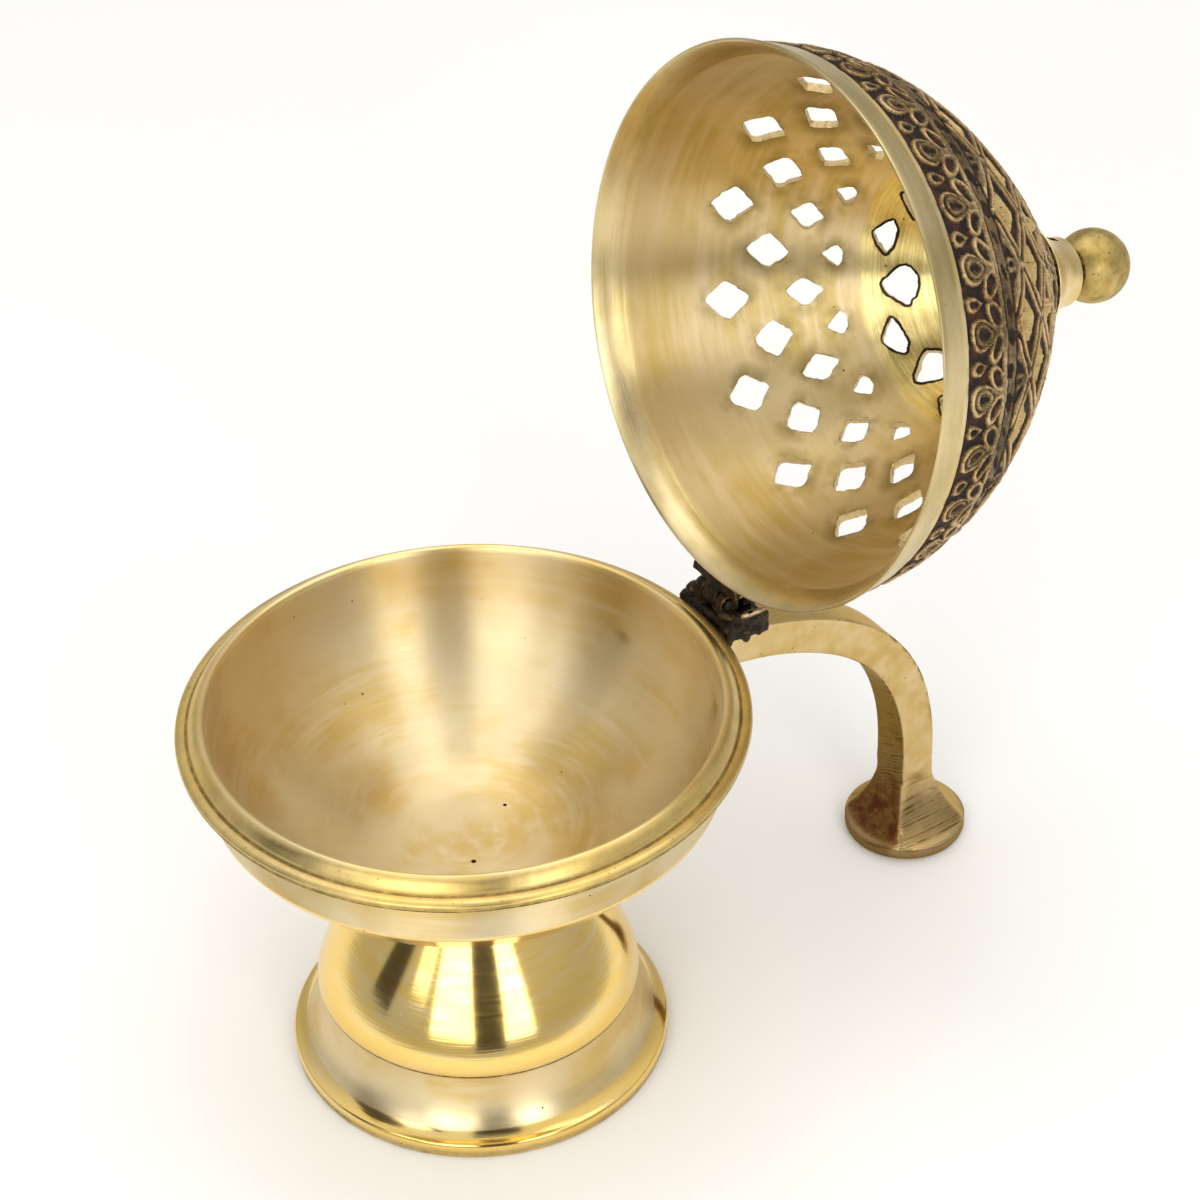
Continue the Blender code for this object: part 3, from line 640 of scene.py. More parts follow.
def relief_brass():
    """Blackened cast ornament whose ridges were buffed back to a dull gold."""
    s = Shader("lid_relief")
    tone = s.share("tone")
    grit = s.patches(2.2, 4, 0.75)
    patch = s.patches(0.09, 3)
    level = s.scale_add(s.math("SUBTRACT", grit, 0.5), 0.85, tone)
    level = s.scale_add(s.math("SUBTRACT", patch, 0.5), 0.35, level)
    deep = s.grade(s.patches(0.5, 2), 0.45, 0.6, RELIEF_BLACK, RELIEF_RUST)
    middle = s.grade(patch, 0.4, 0.6, RELIEF_BROWN, RELIEF_TAN)
    high = s.grade(patch, 0.35, 0.65, RIDGE_WARM, RIDGE_PALE)
    colour = s.grade(level, 0.26, 0.50, deep, middle)
    colour = s.grade(level, 0.56, 0.86, colour, high)
    s.set("Base Color", colour)
    s.set("Metallic", s.ramp(level, 0.15, 0.5, 0.35, 1.0))
    s.set("Roughness", s.ramp(level, 0.2, 0.85, 0.72, 0.36))
    s.set("Normal", s.bump(grit, 0.22))
    return s.material


def pierced_edge():
    """Filed walls of the pierced holes: mostly bare gold, black and rust in the pits."""
    s = Shader("pierced_edge")
    grit = s.patches(1.3, 4, 0.7)
    bare = s.ramp(grit, 0.30, 0.44)
    dark = s.grade(s.patches(0.4, 2), 0.4, 0.6, EDGE_BLACK, EDGE_RUST)
    s.set("Base Color", s.blend(bare, dark, EDGE_BARE))
    s.set("Metallic", s.ramp(grit, 0.4, 0.6, 0.5, 1.0))
    s.set("Roughness", s.ramp(grit, 0.4, 0.7, 0.65, 0.40))
    s.set("Normal", s.bump(grit, 0.25))
    return s.material


def blackened_brass():
    """Black cast hinge parts, brown in the hollows, rubbed to gold on the high edges."""
    s = Shader("blackened_cast")
    tone = s.share("tone")
    grit = s.patches(1.5, 4, 0.7)
    level = s.scale_add(s.math("SUBTRACT", grit, 0.5), 0.7, tone)
    base = s.grade(s.patches(0.5, 3), 0.4, 0.65, CAST_BLACK, CAST_BROWN)
    colour = s.grade(level, 0.60, 0.80, base, CAST_RAISED)
    colour = s.grade(level, 0.86, 1.0, colour, CAST_RUBBED)
    worn = s.times(s.share("worn"), s.ramp(grit, 0.40, 0.50))
    colour = s.blend(worn, colour, CAST_BARE)
    s.set("Base Color", colour)
    s.set("Metallic", s.ramp(level, 0.4, 0.8, 0.6, 1.0))
    s.set("Roughness", s.ramp(level, 0.4, 0.9, 0.58, 0.34))
    s.set("Normal", s.bump(grit, 0.15))
    return s.material


def filed_brass():
    """Handle casting: buffed faces, file marks on the inner face, painted shade on the leg's inner face and
    the flare, stained flare.
    """
    s = Shader("filed_cast")
    marks, stain, edge = (s.share(name) for name in ("filed", "stain", "edge"))
    x, y, z = s.split(s.place)
    cloud = s.patches(0.07, 3)
    along = s.noise(s.join(s.times(x, 0.25), s.times(y, 3.0), s.times(z, 0.25)), 1.0, 4)
    slant = s.scale_add(y, 0.55, z)
    strokes = s.noise(s.join(s.times(slant, 1.5), s.times(y, 0.12), 0.0), 1.0, 3, 0.6)
    colour = s.grade(cloud, 0.35, 0.65, FILED, FILED_WARM)
    colour = s.grade(along, 0.35, 0.75, colour, FILED_PALE)
    # Painted shade: the "shade" share darkens the leg's inner face, the flare's lobes and sides and the
    # disc's rim where shade falls.
    colour = s.blend(s.share("shade"), colour, FILED_PAINTED_SHADE)
    patchy = s.ramp(s.patches(0.22, 3), 0.40, 0.58)
    groove = s.times(s.times(marks, patchy), s.ramp(strokes, 0.50, 0.38))
    colour = s.blend(groove, colour, FILED_GROOVE)
    red = s.grade(s.patches(0.30, 5, 0.7), 0.38, 0.66, STAIN_RED, STAIN_BROWN)
    colour = s.blend(stain, colour, red)
    pits = s.specks(s.place, 0.55, 0.10, 0.16)
    black = s.times(edge, s.ramp(s.patches(0.38, 3), 0.50, 0.60))
    spots = s.most(pits, black)
    s.set("Base Color", s.blend(spots, colour, GRIME))
    rough = s.ramp(along, 0.3, 0.7, 0.27, 0.38)
    rough = s.scale_add(stain, 0.15, rough)
    s.set("Roughness", s.scale_add(spots, 0.3, rough))
    normal = s.bump(s.times(strokes, marks), 0.35)
    normal = s.bump(along, 0.02, normal)
    normal = s.bump(s.patches(0.12, 2), 0.5, normal)
    s.set("Normal", s.bump(s.math("SUBTRACT", 1.0, pits), 0.1, normal))
    s.set("Specular Tint", (0.80, 0.64, 0.40, 1.0))
    return s.material


# ---------------- bowl

def make_bowl(finish):
    flange_under = FLANGE_TOP - FLANGE_THICKNESS
    curve = superellipse(INSIDE_RADIUS, INSIDE_DEPTH, 0.0, pi / 2, 56, "satin")
    inside = [corner for corner in curve if corner[0] > FLOOR_RADIUS]
    section = [(0.0, inside[-1][1], 0, "satin")] + inside[::-1]
    section += [
        (INSIDE_RADIUS + 0.05, BELLY_TOP + 1.0, 0.2, "satin"),
        (LIP_RADIUS - 0.75, LIP_TOP - 0.35, 0.3, "worn"),
        (LIP_RADIUS, LIP_TOP, 0.5, "worn"),
        (LIP_RADIUS + 1.1, LIP_TOP - 0.7, 0.5, "rim"),
        (LIP_RADIUS + 2.1, LIP_TOP - 2.0, 0.4, "rim"),
        (LIP_RADIUS + 2.35, FLANGE_TOP - 0.05, 0.1, "line"),
        (LIP_RADIUS + 2.6, FLANGE_TOP, 0.1, "line"),
        (LIP_RADIUS + 2.8, FLANGE_TOP + 0.05, 0.2, "rim"),
        (FLANGE_RADIUS - 0.8, FLANGE_TOP, 0.6, "rim"),
        (FLANGE_RADIUS - 0.05, FLANGE_TOP - 0.5, 0.4, "rim"),
        (FLANGE_RADIUS, FLANGE_TOP - 1.1, 0.3, "aged"),
        (FLANGE_RADIUS - 0.3, flange_under - 0.1, 0.3, "crevice"),
        (FLANGE_RADIUS - 1.6, flange_under - 0.5, 0.3, "crevice"),
        (WALL_TOP_RADIUS + 0.5, WALL_TOP + 1.0, 0.4, "crevice"),
        (WALL_TOP_RADIUS, WALL_TOP, 0.4, "satin"),
        (WALL_FOOT_RADIUS + 0.15, WALL_FOOT + 1.1, 0.2, "satin"),
        (WALL_FOOT_RADIUS, WALL_FOOT, 0.5, "polish"),
        (WALL_FOOT_RADIUS - 1.1, WALL_FOOT - 1.2, 0.5, "polish"),
    ]
    section += superellipse(BELLY_RADIUS, BELLY_DEPTH, 0.62, 1.42, 30, "polish")
    section += [
        (NECK_RADIUS + 0.9, NECK_JOINT + 3.4, 0.5, "polish"),
        (NECK_RADIUS, NECK_JOINT + 1.6, 1.0, "polish"),
        (NECK_RADIUS, NECK_JOINT, 0.25, "crevice"),
        (SCREW_HOLE, NECK_JOINT, 0, "satin"),
        (SCREW_HOLE, NECK_JOINT + 5.1, 0, "satin"),
        (0.0, NECK_JOINT + 5.1, 0, "satin"),
    ]
    bowl = turned("bowl_turned", section, CENSER)
    for name, angle, height in HANDLE_RIVETS:
        start = inside_reach(height) + RIVET_COVER - 0.05
        drill = radial_rod(name + "_drill", angle, height, RIVET_RADIUS + 0.05, start, 52)
        combined(bowl, drill, "DIFFERENCE")
    dent(bowl.data)
    return placed(bowl, finish, "base", "satin_brass", "bowl")


def inside_reach(height):
    """Radius of the bowl's inner surface at a height."""
    depth = ((BELLY_TOP - height) / INSIDE_DEPTH) ** BELLY_POWER
    return INSIDE_RADIUS * (1 - depth) ** (1 / BELLY_POWER)


def dent(mesh):
    """Shallow dents and stains where the rivets were beaten flush from inside."""
    place = read(mesh.vertices, "co", 3)
    radius = np.hypot(place[:, 0], place[:, 1]) / MM
    aged = mesh.attributes["aged"].data
    stained = read(aged, "value", kind=np.float32)
    for angle, height, size, depth in DENTS:
        centre = np.array((cos(angle), sin(angle), 0)) * inside_reach(height) + (0, 0, height)
        away = np.linalg.norm(place / MM - centre, axis=1)
        near = np.exp(-(away / size) ** 2) * (radius < inside_reach(height) + 0.2)
        place[:, :2] *= (1 + depth * near / np.maximum(radius, 1))[:, None]
        stained = np.maximum(stained, 0.8 * near)
    mesh.vertices.foreach_set("co", place.ravel())
    aged.foreach_set("value", stained)
    mesh.update()


def wall_reach(height):
    """Radius of the bowl's outer wall at a height."""
    return mix(WALL_FOOT_RADIUS, WALL_TOP_RADIUS, (height - WALL_FOOT) / (WALL_TOP - WALL_FOOT))


def radial_rod(name, angle, height, radius, start, end):
    """A level rod that points away from the bowl's axis."""
    out = Matrix.Rotation(angle, 3, "Z") @ Vector((1, 0, 0))
    side = Vector((-out.y, out.x, 0))
    rings = []
    for reach in (start, end):
        ring = []
        for k in range(32):
            turn = 2 * pi * k / 32
            ring.append(out * reach + side * (radius * cos(turn))
                        + Vector((0, 0, height + radius * sin(turn))))
        rings.append(ring)
    return lofted(name, rings, CENSER)


# ---------------- foot

def make_foot(finish):
    top = NECK_JOINT - GAP
    section = [
        (SCREW_HOLE, top, 0, "satin"),
        (NECK_RADIUS, top, 0.25, "polish"),
    ]
    bulge = ((NECK_RADIUS + 0.1, top - 0.6), (20.4, 32.3), (29.3, 22.5), (BULGE_RADIUS, BULGE_ARRIS + 0.4))
    section += [(*bezier(bulge, k / 26), 0, "polish") for k in range(27)]
    section += [
        (BULGE_RADIUS, BULGE_ARRIS, 0.3, "worn"),
        (BULGE_RADIUS - 0.1, BULGE_ARRIS - 0.5, 0.2, "crevice"),
        (SKIRT_TOP_RADIUS, BULGE_ARRIS - 1.2, 0.3, "satin"),
    ]
    skirt = ((SKIRT_TOP_RADIUS, BULGE_ARRIS - 1.4), (29.2, 9.0), (30.6, 5.6), (34.4, 3.6))
    section += [(*bezier(skirt, k / 20), 0, "satin" if k < 17 else "polish") for k in range(1, 21)]
    section += [
        (FOOT_EDGE_RADIUS - 0.3, 3.35, 0.2, "polish"),
        (FOOT_EDGE_RADIUS, 2.8, 0.35, "polish"),
        (FOOT_EDGE_RADIUS - 0.05, 1.2, 0.4, "aged"),
        (FOOT_RADIUS, 0.0, 0.5, "aged"),
        (30.4, 0.0, 0.5, "aged"),
        (SKIRT_TOP_RADIUS - 2.6, 4.0, 1.5, "aged"),
        (SKIRT_TOP_RADIUS - 3.2, BULGE_ARRIS, 2.0, "aged"),
        (19.2, 30.0, 3.0, "aged"),
        (9.5, FOOT_WEB, 1.0, "aged"),
        (SCREW_HOLE, FOOT_WEB, 0, "satin"),
    ]
    foot = turned("foot_turned", section, CENSER, closed=True)
    return placed(foot, finish, "base", "polished_brass", "foot")


def make_foot_fixing(finish):
    washer_top = FOOT_WEB - GAP
    washer_under = washer_top - WASHER_THICKNESS
    ring = [
        (WASHER_RADIUS, washer_under, 0.2, "worn"),
        (WASHER_RADIUS, washer_top, 0.1, "aged"),
        (SCREW_HOLE, washer_top, 0.1, "aged"),
        (SCREW_HOLE, washer_under, 0.2, "worn"),
    ]
    washer = turned("foot_washer_turned", ring, CENSER, 72, closed=True)
    placed(washer, finish, "base", "fastener_brass", "foot_washer")

    head = washer_under - GAP
    shank = [
        (0.0, head - SCREW_HEAD_HEIGHT, 0, "worn"),
        (SCREW_HEAD_RADIUS - 1.4, head - SCREW_HEAD_HEIGHT, 0.6, "worn"),
        (SCREW_HEAD_RADIUS, head - 1.5, 0.5, "worn"),
        (SCREW_HEAD_RADIUS, head, 0.15, "aged"),
        (SCREW_RADIUS, head, 0, "aged"),
        (SCREW_RADIUS, SCREW_END - 0.5, 0.2, "aged"),
        (SCREW_RADIUS - 0.5, SCREW_END, 0.2, "aged"),
        (0.0, SCREW_END, 0, "aged"),
    ]
    screw = turned("foot_screw_turned", shank, CENSER, 72)
    slot = [[(x, y, z) for x, z in ((-8, -9), (8, -9), (8, head - 1.4), (-8, head - 1.4))]
            for y in (-0.6, 0.6)]
    combined(screw, lofted("slot", slot, CENSER), "DIFFERENCE")
    placed(screw, finish, "base", "fastener_brass", "foot_screw")


# ---------------- handle

def square_reach(angle, half_width, half_depth, power):
    across = abs(cos(angle) / half_width) ** power
    return (across + abs(sin(angle) / half_depth) ** power) ** (-1 / power)


def flare_reach(angle, share):
    """Radius of the flare: four hollow lobes between ridges that run out to the rim."""
    middle = 1 - abs((angle + pi / 4) % (pi / 2) - pi / 4) / (pi / 4)
    square = square_reach(angle, BAR_HALF_WIDTH, BAR_HALF_DEPTH, 24)
    corner = mix(hypot(BAR_HALF_WIDTH, BAR_HALF_DEPTH) - 0.4, DISC_RADIUS, share ** 2.0)
    lobe = mix(BAR_HALF_DEPTH - 0.5 * sin(pi * share), DISC_RADIUS, share ** 3.6)
    open_share = min(share / 0.45, 1.0)
    peak = (1 - middle) ** 2.4
    return mix(square, mix(lobe, corner, peak), open_share * open_share * (3 - 2 * open_share))


def handle_rings(around=96, flare_steps=34):
    """Rings of the bar, then of its flare and the rolled rim of the disc."""
    angles = [2 * pi * (k + 0.5) / around for k in range(around)]
    rings = []
    for t in even_shares(HANDLE_PATH, 90):
        here, out = bezier(HANDLE_PATH, t), bezier_normal(HANDLE_PATH, t)
        centre, upper = Vector((here.x, 0, here.y)), Vector((out.x, 0, out.y))
        ring = []
        for angle in angles:
            reach = square_reach(angle, BAR_HALF_WIDTH, BAR_HALF_DEPTH, 16)
            reach *= 1 + 0.012 * noise.noise(Vector((cos(angle), sin(angle), 6 * t)) * 1.3)
            side = Vector((0, reach * cos(angle), 0))
            ring.append(centre + side - upper * (reach * sin(angle)))
        rings.append(ring)
    across, height = HANDLE_PATH[-1]
    for k in range(1, flare_steps + 1):
        share = k / flare_steps
        centre = Vector((mix(across, DISC_CENTRE, share), 0, mix(height, DISC_TOP, share)))
        rings.append([level_point(centre, angle, min(flare_reach(angle, share), DISC_RADIUS))
                      for angle in angles])
    for level, inset in DISC_RIM:
        centre = Vector((DISC_CENTRE, 0, level))
        rings.append([level_point(centre, angle, DISC_RADIUS - inset) for angle in angles])
    return rings


def level_point(centre, angle, reach):
    return centre + Vector((reach * sin(angle), reach * cos(angle), 0))


def make_handle(finish):
    handle = lofted("handle_cast", handle_rings(), CENSER, sharp=28.0)
    combined(handle, saddle_plate(), "UNION", sharp=28.0)
    for name, angle, height in HANDLE_RIVETS:
        hole = radial_rod(name + "_hole", angle, height, RIVET_RADIUS + GAP, 40, 56)
        combined(handle, hole, "DIFFERENCE", 28.0)
    mark_handle(handle.data)
    return placed(handle, finish, "base", "filed_brass", "handle")


def saddle_plate():
    """Curved plate, rounded at its edges, that ties the handle to the bowl's wall."""
    rings = []
    steps = 40
    for k in range(steps + 1):
        share = 2 * k / steps - 1
        turn = Matrix.Rotation(SADDLE_HALF_ANGLE * share, 3, "Z")
        ease = max(0.0, (abs(share) - 0.93) / 0.07)
        thick = SADDLE_THICKNESS - 0.5 * ease ** 2
        low, high = SADDLE[0] + 0.6 * ease ** 2, SADDLE[1] - 0.6 * ease ** 2
        outline = [(0, low), (0, high), (thick - 0.5, high), (thick, high - 0.5),
                   (thick, low + 0.5), (thick - 0.5, low)]
        ring = []
        for depth, height in outline:
            ring.append(turn @ Vector((wall_reach(height) + GAP + depth, 0, height)))
        rings.append(ring)
    return lofted("saddle", rings, CENSER)


def outer_arris(heights):
    """How far out the bar's outer face reaches at these heights."""
    edge = []
    for t in even_shares(HANDLE_PATH, 40):
        here, out = bezier(HANDLE_PATH, t), bezier_normal(HANDLE_PATH, t)
        edge.append((here.y + BAR_HALF_DEPTH * abs(out.y), here.x + BAR_HALF_DEPTH * abs(out.x)))
    edge.sort()
    levels, reaches = zip(*edge)
    return np.interp(heights, levels, reaches)


def mark_handle(mesh):
    """Shares of file marks, painted shade, brown stain and black edge specks over the handle."""
    x, y, z = read(mesh.vertices, "co", 3).T / MM
    facing = read(mesh.vertices, "normal", 3)
    inward, sideways = -facing[:, 0], abs(facing[:, 1])
    leg = (x > 75) * np.clip((60 - z) / 8, 0, 1)
    inner = leg * np.clip((inward - 0.55) / 0.25, 0, 1)
    flare = np.clip((15.0 - z) / 6.0, 0, 1) * (x > 75)
    disc = np.clip((DISC_TOP + 0.3 - z) / 0.5, 0, 1) * (x > 75)
    lobe = np.clip((-(x - DISC_CENTRE) - abs(y) * 0.9) / 1.5, 0, 1)
    side = np.clip((abs(y) - abs(x - DISC_CENTRE) * 0.9) / 1.5, 0, 1)
    set_shares(mesh, "filed", np.maximum(inner * (1 - flare), flare * side) * (1 - disc))
    hollow = flare * np.clip((z - DISC_TOP) / 1.0, 0, 1)
    # Painted shade: the leg's inner face darker towards the bottom, and the flare's hollow lobes and sides
    # and the disc's rim darker, where shade falls.
    shaded = np.maximum(inner * np.clip((58 - z) / 14, 0.3, 1), hollow * np.maximum(0.75 * side, 0.9 * lobe))
    set_shares(mesh, "shade", np.maximum(shaded, 0.8 * disc))
    set_shares(mesh, "stain", hollow * lobe)
    arris = np.clip(1.0 - abs(x - outer_arris(z)) / 0.9, 0, 1) * np.clip(sideways * 4, 0, 1)
    set_shares(mesh, "edge", arris * np.clip((z - 26) / 6, 0, 1) * np.clip((58 - z) / 6, 0, 1))


def make_handle_rivets(finish):
    """Rivets covered by the dented wall inside the bowl and domed over the saddle."""
    for name, angle, height in HANDLE_RIVETS:
        outside = wall_reach(height) + GAP + SADDLE_THICKNESS + GAP
        inside = inside_reach(height) + RIVET_COVER
        outline = [
            (0.0, inside, 0, "satin"),
            (RIVET_RADIUS, inside, 0.05, "satin"),
            (RIVET_RADIUS, outside, 0.1, "aged"),
            (2.4, outside, 0.2, "aged"),
            (2.2, outside + 0.6, 0.4, "worn"),
            (1.2, outside + 0.95, 0.5, "worn"),
            (0.0, outside + 1.0, 0, "worn"),
        ]
        out = Matrix.Rotation(angle, 4, "Z") @ Matrix.Rotation(pi / 2, 4, "Y")
        place = CENSER @ Matrix.Translation((0, 0, height * MM)) @ out
        rivet = turned(name + "_domed", outline, place, 48)
        placed(rivet, finish, "base", "satin_brass", name)


# ---------------- hinge

def cast_copy(name, node, lumps, finish, body):
    """A cast version of a CAD node: its solid and the lumps, fused, softened, grained."""
    bm = bmesh.new()
    bm.from_mesh(frame["nodes"][node].data)
    for centre, size, turn in lumps:
        place = (Matrix.Translation(PIVOT + Vector(centre) * MM)
                 @ Matrix.Rotation(radians(turn[0]), 4, "Z")
                 @ Matrix.Rotation(radians(turn[1]), 4, "Y")
                 @ Matrix.Diagonal((*(Vector(size) * MM), 1.0)))
        bmesh.ops.create_icosphere(bm, subdivisions=4, radius=1.0, matrix=place)
    mesh = bpy.data.meshes.new(name)
    bm.to_mesh(mesh)
    bm.free()
    item = add_object(name, mesh)
    modified(item, "REMESH", mode="VOXEL", voxel_size=0.22 * MM)
    modified(item, "SMOOTH", factor=0.5, iterations=3)
    roughen(item.data)
    mark_worn(item.data)
    shade(item.data, 60.0)
    return placed(item, finish, body, "blackened_brass", node)


def roughen(mesh):
    """Move vertices by a cast grain and keep how proud each stands as its tone."""
    place, normal = read(mesh.vertices, "co", 3), read(mesh.vertices, "normal", 3)
    grain = np.array([noise.fractal(Vector(point) / MM * 0.9, 0.6, 2.1, 3) for point in place])
    mesh.vertices.foreach_set("co", (place + normal * grain[:, None] * 0.12 * MM).ravel())
    a, b = read(mesh.edges, "vertices", 2, int).T
    bend = np.zeros(len(place))
    for here, there in ((a, b), (b, a)):
        np.add.at(bend, here, ((place[here] - place[there]) * normal[here]).sum(axis=1) / MM)
    for _ in range(3):
        total, near = bend.copy(), np.ones(len(place))
        for here, there in ((a, b), (b, a)):
            np.add.at(total, here, bend[there])
            np.add.at(near, here, 1)
        bend = total / near
    set_shares(mesh, "tone", np.clip(0.5 + bend * 3.0 + grain * 0.1, 0, 1))


def mark_worn(mesh):
    """Share of bare metal on the ledges beside the pin, where the lid rubs."""
    x, y, z = ((read(mesh.vertices, "co", 3) - np.array(PIVOT)) / MM).T
    near = np.hypot((x - 3.6) / 2.9, (abs(y) - 6.9) / 0.75)
    set_shares(mesh, "worn", np.clip((1.15 - near) / 0.3, 0, 1) * np.clip((z + 1.7) / 0.4, 0, 1))


def make_hinge(finish, pin_finish):
    # centre from the pin, half sizes, (turn about Z, turn about Y) in degrees
    leaves = []
    for side in (-1, 1):
        leaves += [
            ((-0.9, side * 5.6, -1.2), (2.3, 1.4, 1.0), (side * 25, 12)),
            ((-0.5, side * 6.6, -2.7), (2.9, 1.1, 0.9), (side * -10, -8)),
            ((2.4, side * 6.9, -2.2), (2.9, 0.9, 0.8), (side * 8, 5)),
            ((2.6, side * 5.6, -1.9), (2.6, 1.2, 0.9), (side * -24, 0)),
            ((5.3, side * 6.6, -2.6), (1.5, 1.1, 0.8), (side * 30, 8)),
            ((-2.3, side * 7.3, -4.6), (1.0, 0.7, 2.4), (0, 14)),
            ((1.2, side * 7.5, -4.8), (1.1, 0.6, 2.2), (0, -10)),
            ((4.4, side * 7.5, -4.6), (1.0, 0.6, 2.0), (0, 12)),
            ((3.6, side * 7.0, -1.3), (2.8, 0.5, 0.6), (side * 4, 3)),
        ]
    cast_copy("hinge_bracket_cast", "hinge_bracket", leaves, finish, "base")
    turn = LID_TURN.to_3x3()
    scrolls = []
    for side in (-1, 1):
        centre = turn @ Vector((-3.2, side * 3.6, 3.6))
        scrolls.append((tuple(centre), (1.0, 2.2, 1.6), (side * 12, 10)))
    cast_copy("lid_lug_cast", "lid_lug", scrolls, finish, "lid")

    half = [
        (PIN_RADIUS, PIN_SHOULDER, 0, "aged"),
        (PIN_RADIUS + 0.5, PIN_SHOULDER, 0.1, "aged"),
        (PIN_RADIUS + 0.5, PIN_SHOULDER + 0.4, 0.3, "worn"),
        (PIN_RADIUS - 0.1, PIN_SHOULDER + 0.8, 0.3, "worn"),
        (0.0, PIN_SHOULDER + 0.8, 0, "worn"),
    ]
    outline = [(radius, -along, fillet, zone) for radius, along, fillet, zone in half[::-1]] + half
    place = Matrix.Translation(PIVOT) @ Matrix.Rotation(pi / 2, 4, "X")
    pin = turned("hinge_pin_turned", outline, place, 48)
    set_shares(pin.data, "tone", np.full(len(pin.data.vertices), 0.55))
    placed(pin, finish, "base", "blackened_brass", "hinge_pin")

    low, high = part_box("bracket_rivet")
    top, middle = high.z / MM, (low + high) / 2
    outline = [
        (0.0, low.z / MM, 0, "aged"),
        (BRACKET_RIVET_RADIUS, low.z / MM, 0.2, "aged"),
        (BRACKET_RIVET_RADIUS, top - 1.3, 0.1, "aged"),
        (2.0, top - 0.15, 0.2, "worn"),
        (BRACKET_RIVET_RADIUS, top, 0.3, "worn"),
        (0.0, top, 0, "worn"),
    ]
    rivet = turned("bracket_rivet_turned", outline, Matrix.Translation((middle.x, middle.y, 0)), 48)
    placed(rivet, pin_finish, "base", "blackened_brass", "bracket_rivet")


def make_lug_rivets(finish):
    start, end = LUG_RIVET_REACH
    outline = [
        (0.0, start, 0, "aged"),
        (LUG_RIVET_RADIUS, start, 0.15, "aged"),
        (LUG_RIVET_RADIUS, end, 0.2, "worn"),
        (0.0, end + 0.1, 0, "worn"),
    ]
    up = Matrix.Translation((0, 0, LUG_RIVET_HEIGHT * MM))
    for side, name in ((-1, "lug_rivet_right"), (1, "lug_rivet_left")):
        out = Matrix.Rotation(LUG_RIVET_ANGLE * side, 4, "Z") @ Matrix.Rotation(pi / 2, 4, "Y")
        rivet = turned(name + "_turned", outline, LID @ up @ out, 32)
        placed(rivet, finish, "lid", "blackened_brass", name)


# ---------------- lid ornament

def folded(angle, phase, period):
    """Angle from the nearest multiple of period after phase, either side."""
    return (angle - phase + period / 2) % period - period / 2


def ridge(distance, half):
    """A round bead: 1 on its line, 0 from half a width away."""
    return np.clip(1 - (distance / half) ** 2, 0, 1)


def beaded(h, distance, half, top, fall=0.3):
    """Height h with a round bead of height top added along distance 0."""
    return np.maximum(h, top * ridge(distance, half) - fall * (abs(distance) > half))


def oval(x, y, centre, half, tilt=0.0):
    """Distance, roughly in millimetres, outside an oval's outline; negative inside."""
    c, s = cos(radians(tilt)), sin(radians(tilt))
    dx, dy = x - centre[0], y - centre[1]
    u, v = (dx * c + dy * s) / half[0], (dy * c - dx * s) / half[1]
    return (np.hypot(u, v) - 1) * min(half)


def drop(x, y, centre, half):
    """As oval, for a drop that is round below and pointed above."""
    v = (y - centre[1]) / half[1]
    width = half[0] * np.sqrt(np.clip(1 - v, 0.02, 2)) * 0.78
    return (np.hypot((x - centre[0]) / width, v) - 1) * min(half)


def strap_distance(angle, height, radius):
    """Distance to the nearest strap of the diamond lattice, and to its crossings."""
    turn = abs(folded(angle, LATTICE_PHASE + CELL / 2, CELL))
    nearest = np.full(np.broadcast(turn, height).shape, 99.0)
    crossing = nearest.copy()
    ends = [0.0 if k % 2 == 0 else CELL / 2 for k in range(len(LATTICE_HEIGHTS))]
    for k in range(len(ends) - 1):
        low, high = LATTICE_HEIGHTS[k], LATTICE_HEIGHTS[k + 1]
        slope = (ends[k + 1] - ends[k]) / (high - low)
        line = ends[k] + slope * (height - low)
        lean = 1 / np.sqrt(1 + (slope * radius) ** 2)
        distance = abs(turn - line) * radius * lean
        beyond = np.maximum(np.maximum(low - 1.2 - height, height - high - 1.2), 0)
        nearest = np.minimum(nearest, np.hypot(distance, beyond * 3))
    for k, end in enumerate(ends):
        across = (turn - end) * radius
        crossing = np.minimum(crossing, abs(across) / 1.25 + abs(height - LATTICE_HEIGHTS[k]) / 1.7)
    return nearest, crossing


def scroll_band(angle, height, radius):
    """Egg ring, darts between and pairs of volutes above, 28 round the dome."""
    unit = CELL / 2
    x = folded(angle, LATTICE_PHASE, unit) * radius
    between = (folded(angle, LATTICE_PHASE + unit / 2, unit)) * radius
    h = np.full(np.broadcast(x, height).shape, -0.42)
    egg = drop(x, height, (0.0, 10.9), (2.9, 3.3))
    h = np.maximum(h, -0.05 - 0.4 * (egg > 0))
    h = beaded(h, egg, 0.42, 0.42)
    h = beaded(h, egg + 1.15, 0.36, 0.34)
    h = np.where(oval(x, height, (0.0, 10.9), (0.45, 1.5)) < 0, -0.5, h)
    for side in (-1, 1):
        volute = oval(x, height, (side * 2.75, 14.1), (2.45, 1.45), side * -38)
        h = beaded(h, volute, 0.40, 0.45)
        h = np.where(volute < -0.45, np.maximum(h, -0.1), h)
        h = np.where(oval(x, height, (side * 2.6, 14.2), (1.3, 0.42), side * -38) < 0, -0.45, h)
    dart = drop(between, height, (0.0, 9.2), (1.15, 1.7))
    h = np.maximum(h, 0.32 * ridge(abs(dart), 0.42) - 0.3 * (abs(dart) > 0.45))
    h = np.where(oval(between, height, (0.0, 9.1), (0.32, 0.9)) < 0, -0.5, h)
    bead = np.hypot(x, height - 15.3)
    return np.maximum(h, 0.45 * np.sqrt(ridge(bead, 0.7)) - 0.3 * (bead > 0.7))


def bead_band(angle, height, radius, wander):
    """Flat band with a row of small oval dimples."""
    x = folded(angle, 0.04, 2 * pi / 51) * radius
    dimple = oval(x, height, (0.0, 18.9), (1.25, 0.72), 18) + 0.35 * wander
    return np.where(dimple < 0.25, -0.62 * np.clip(0.6 - dimple, 0, 1) / 0.9, 0.02)


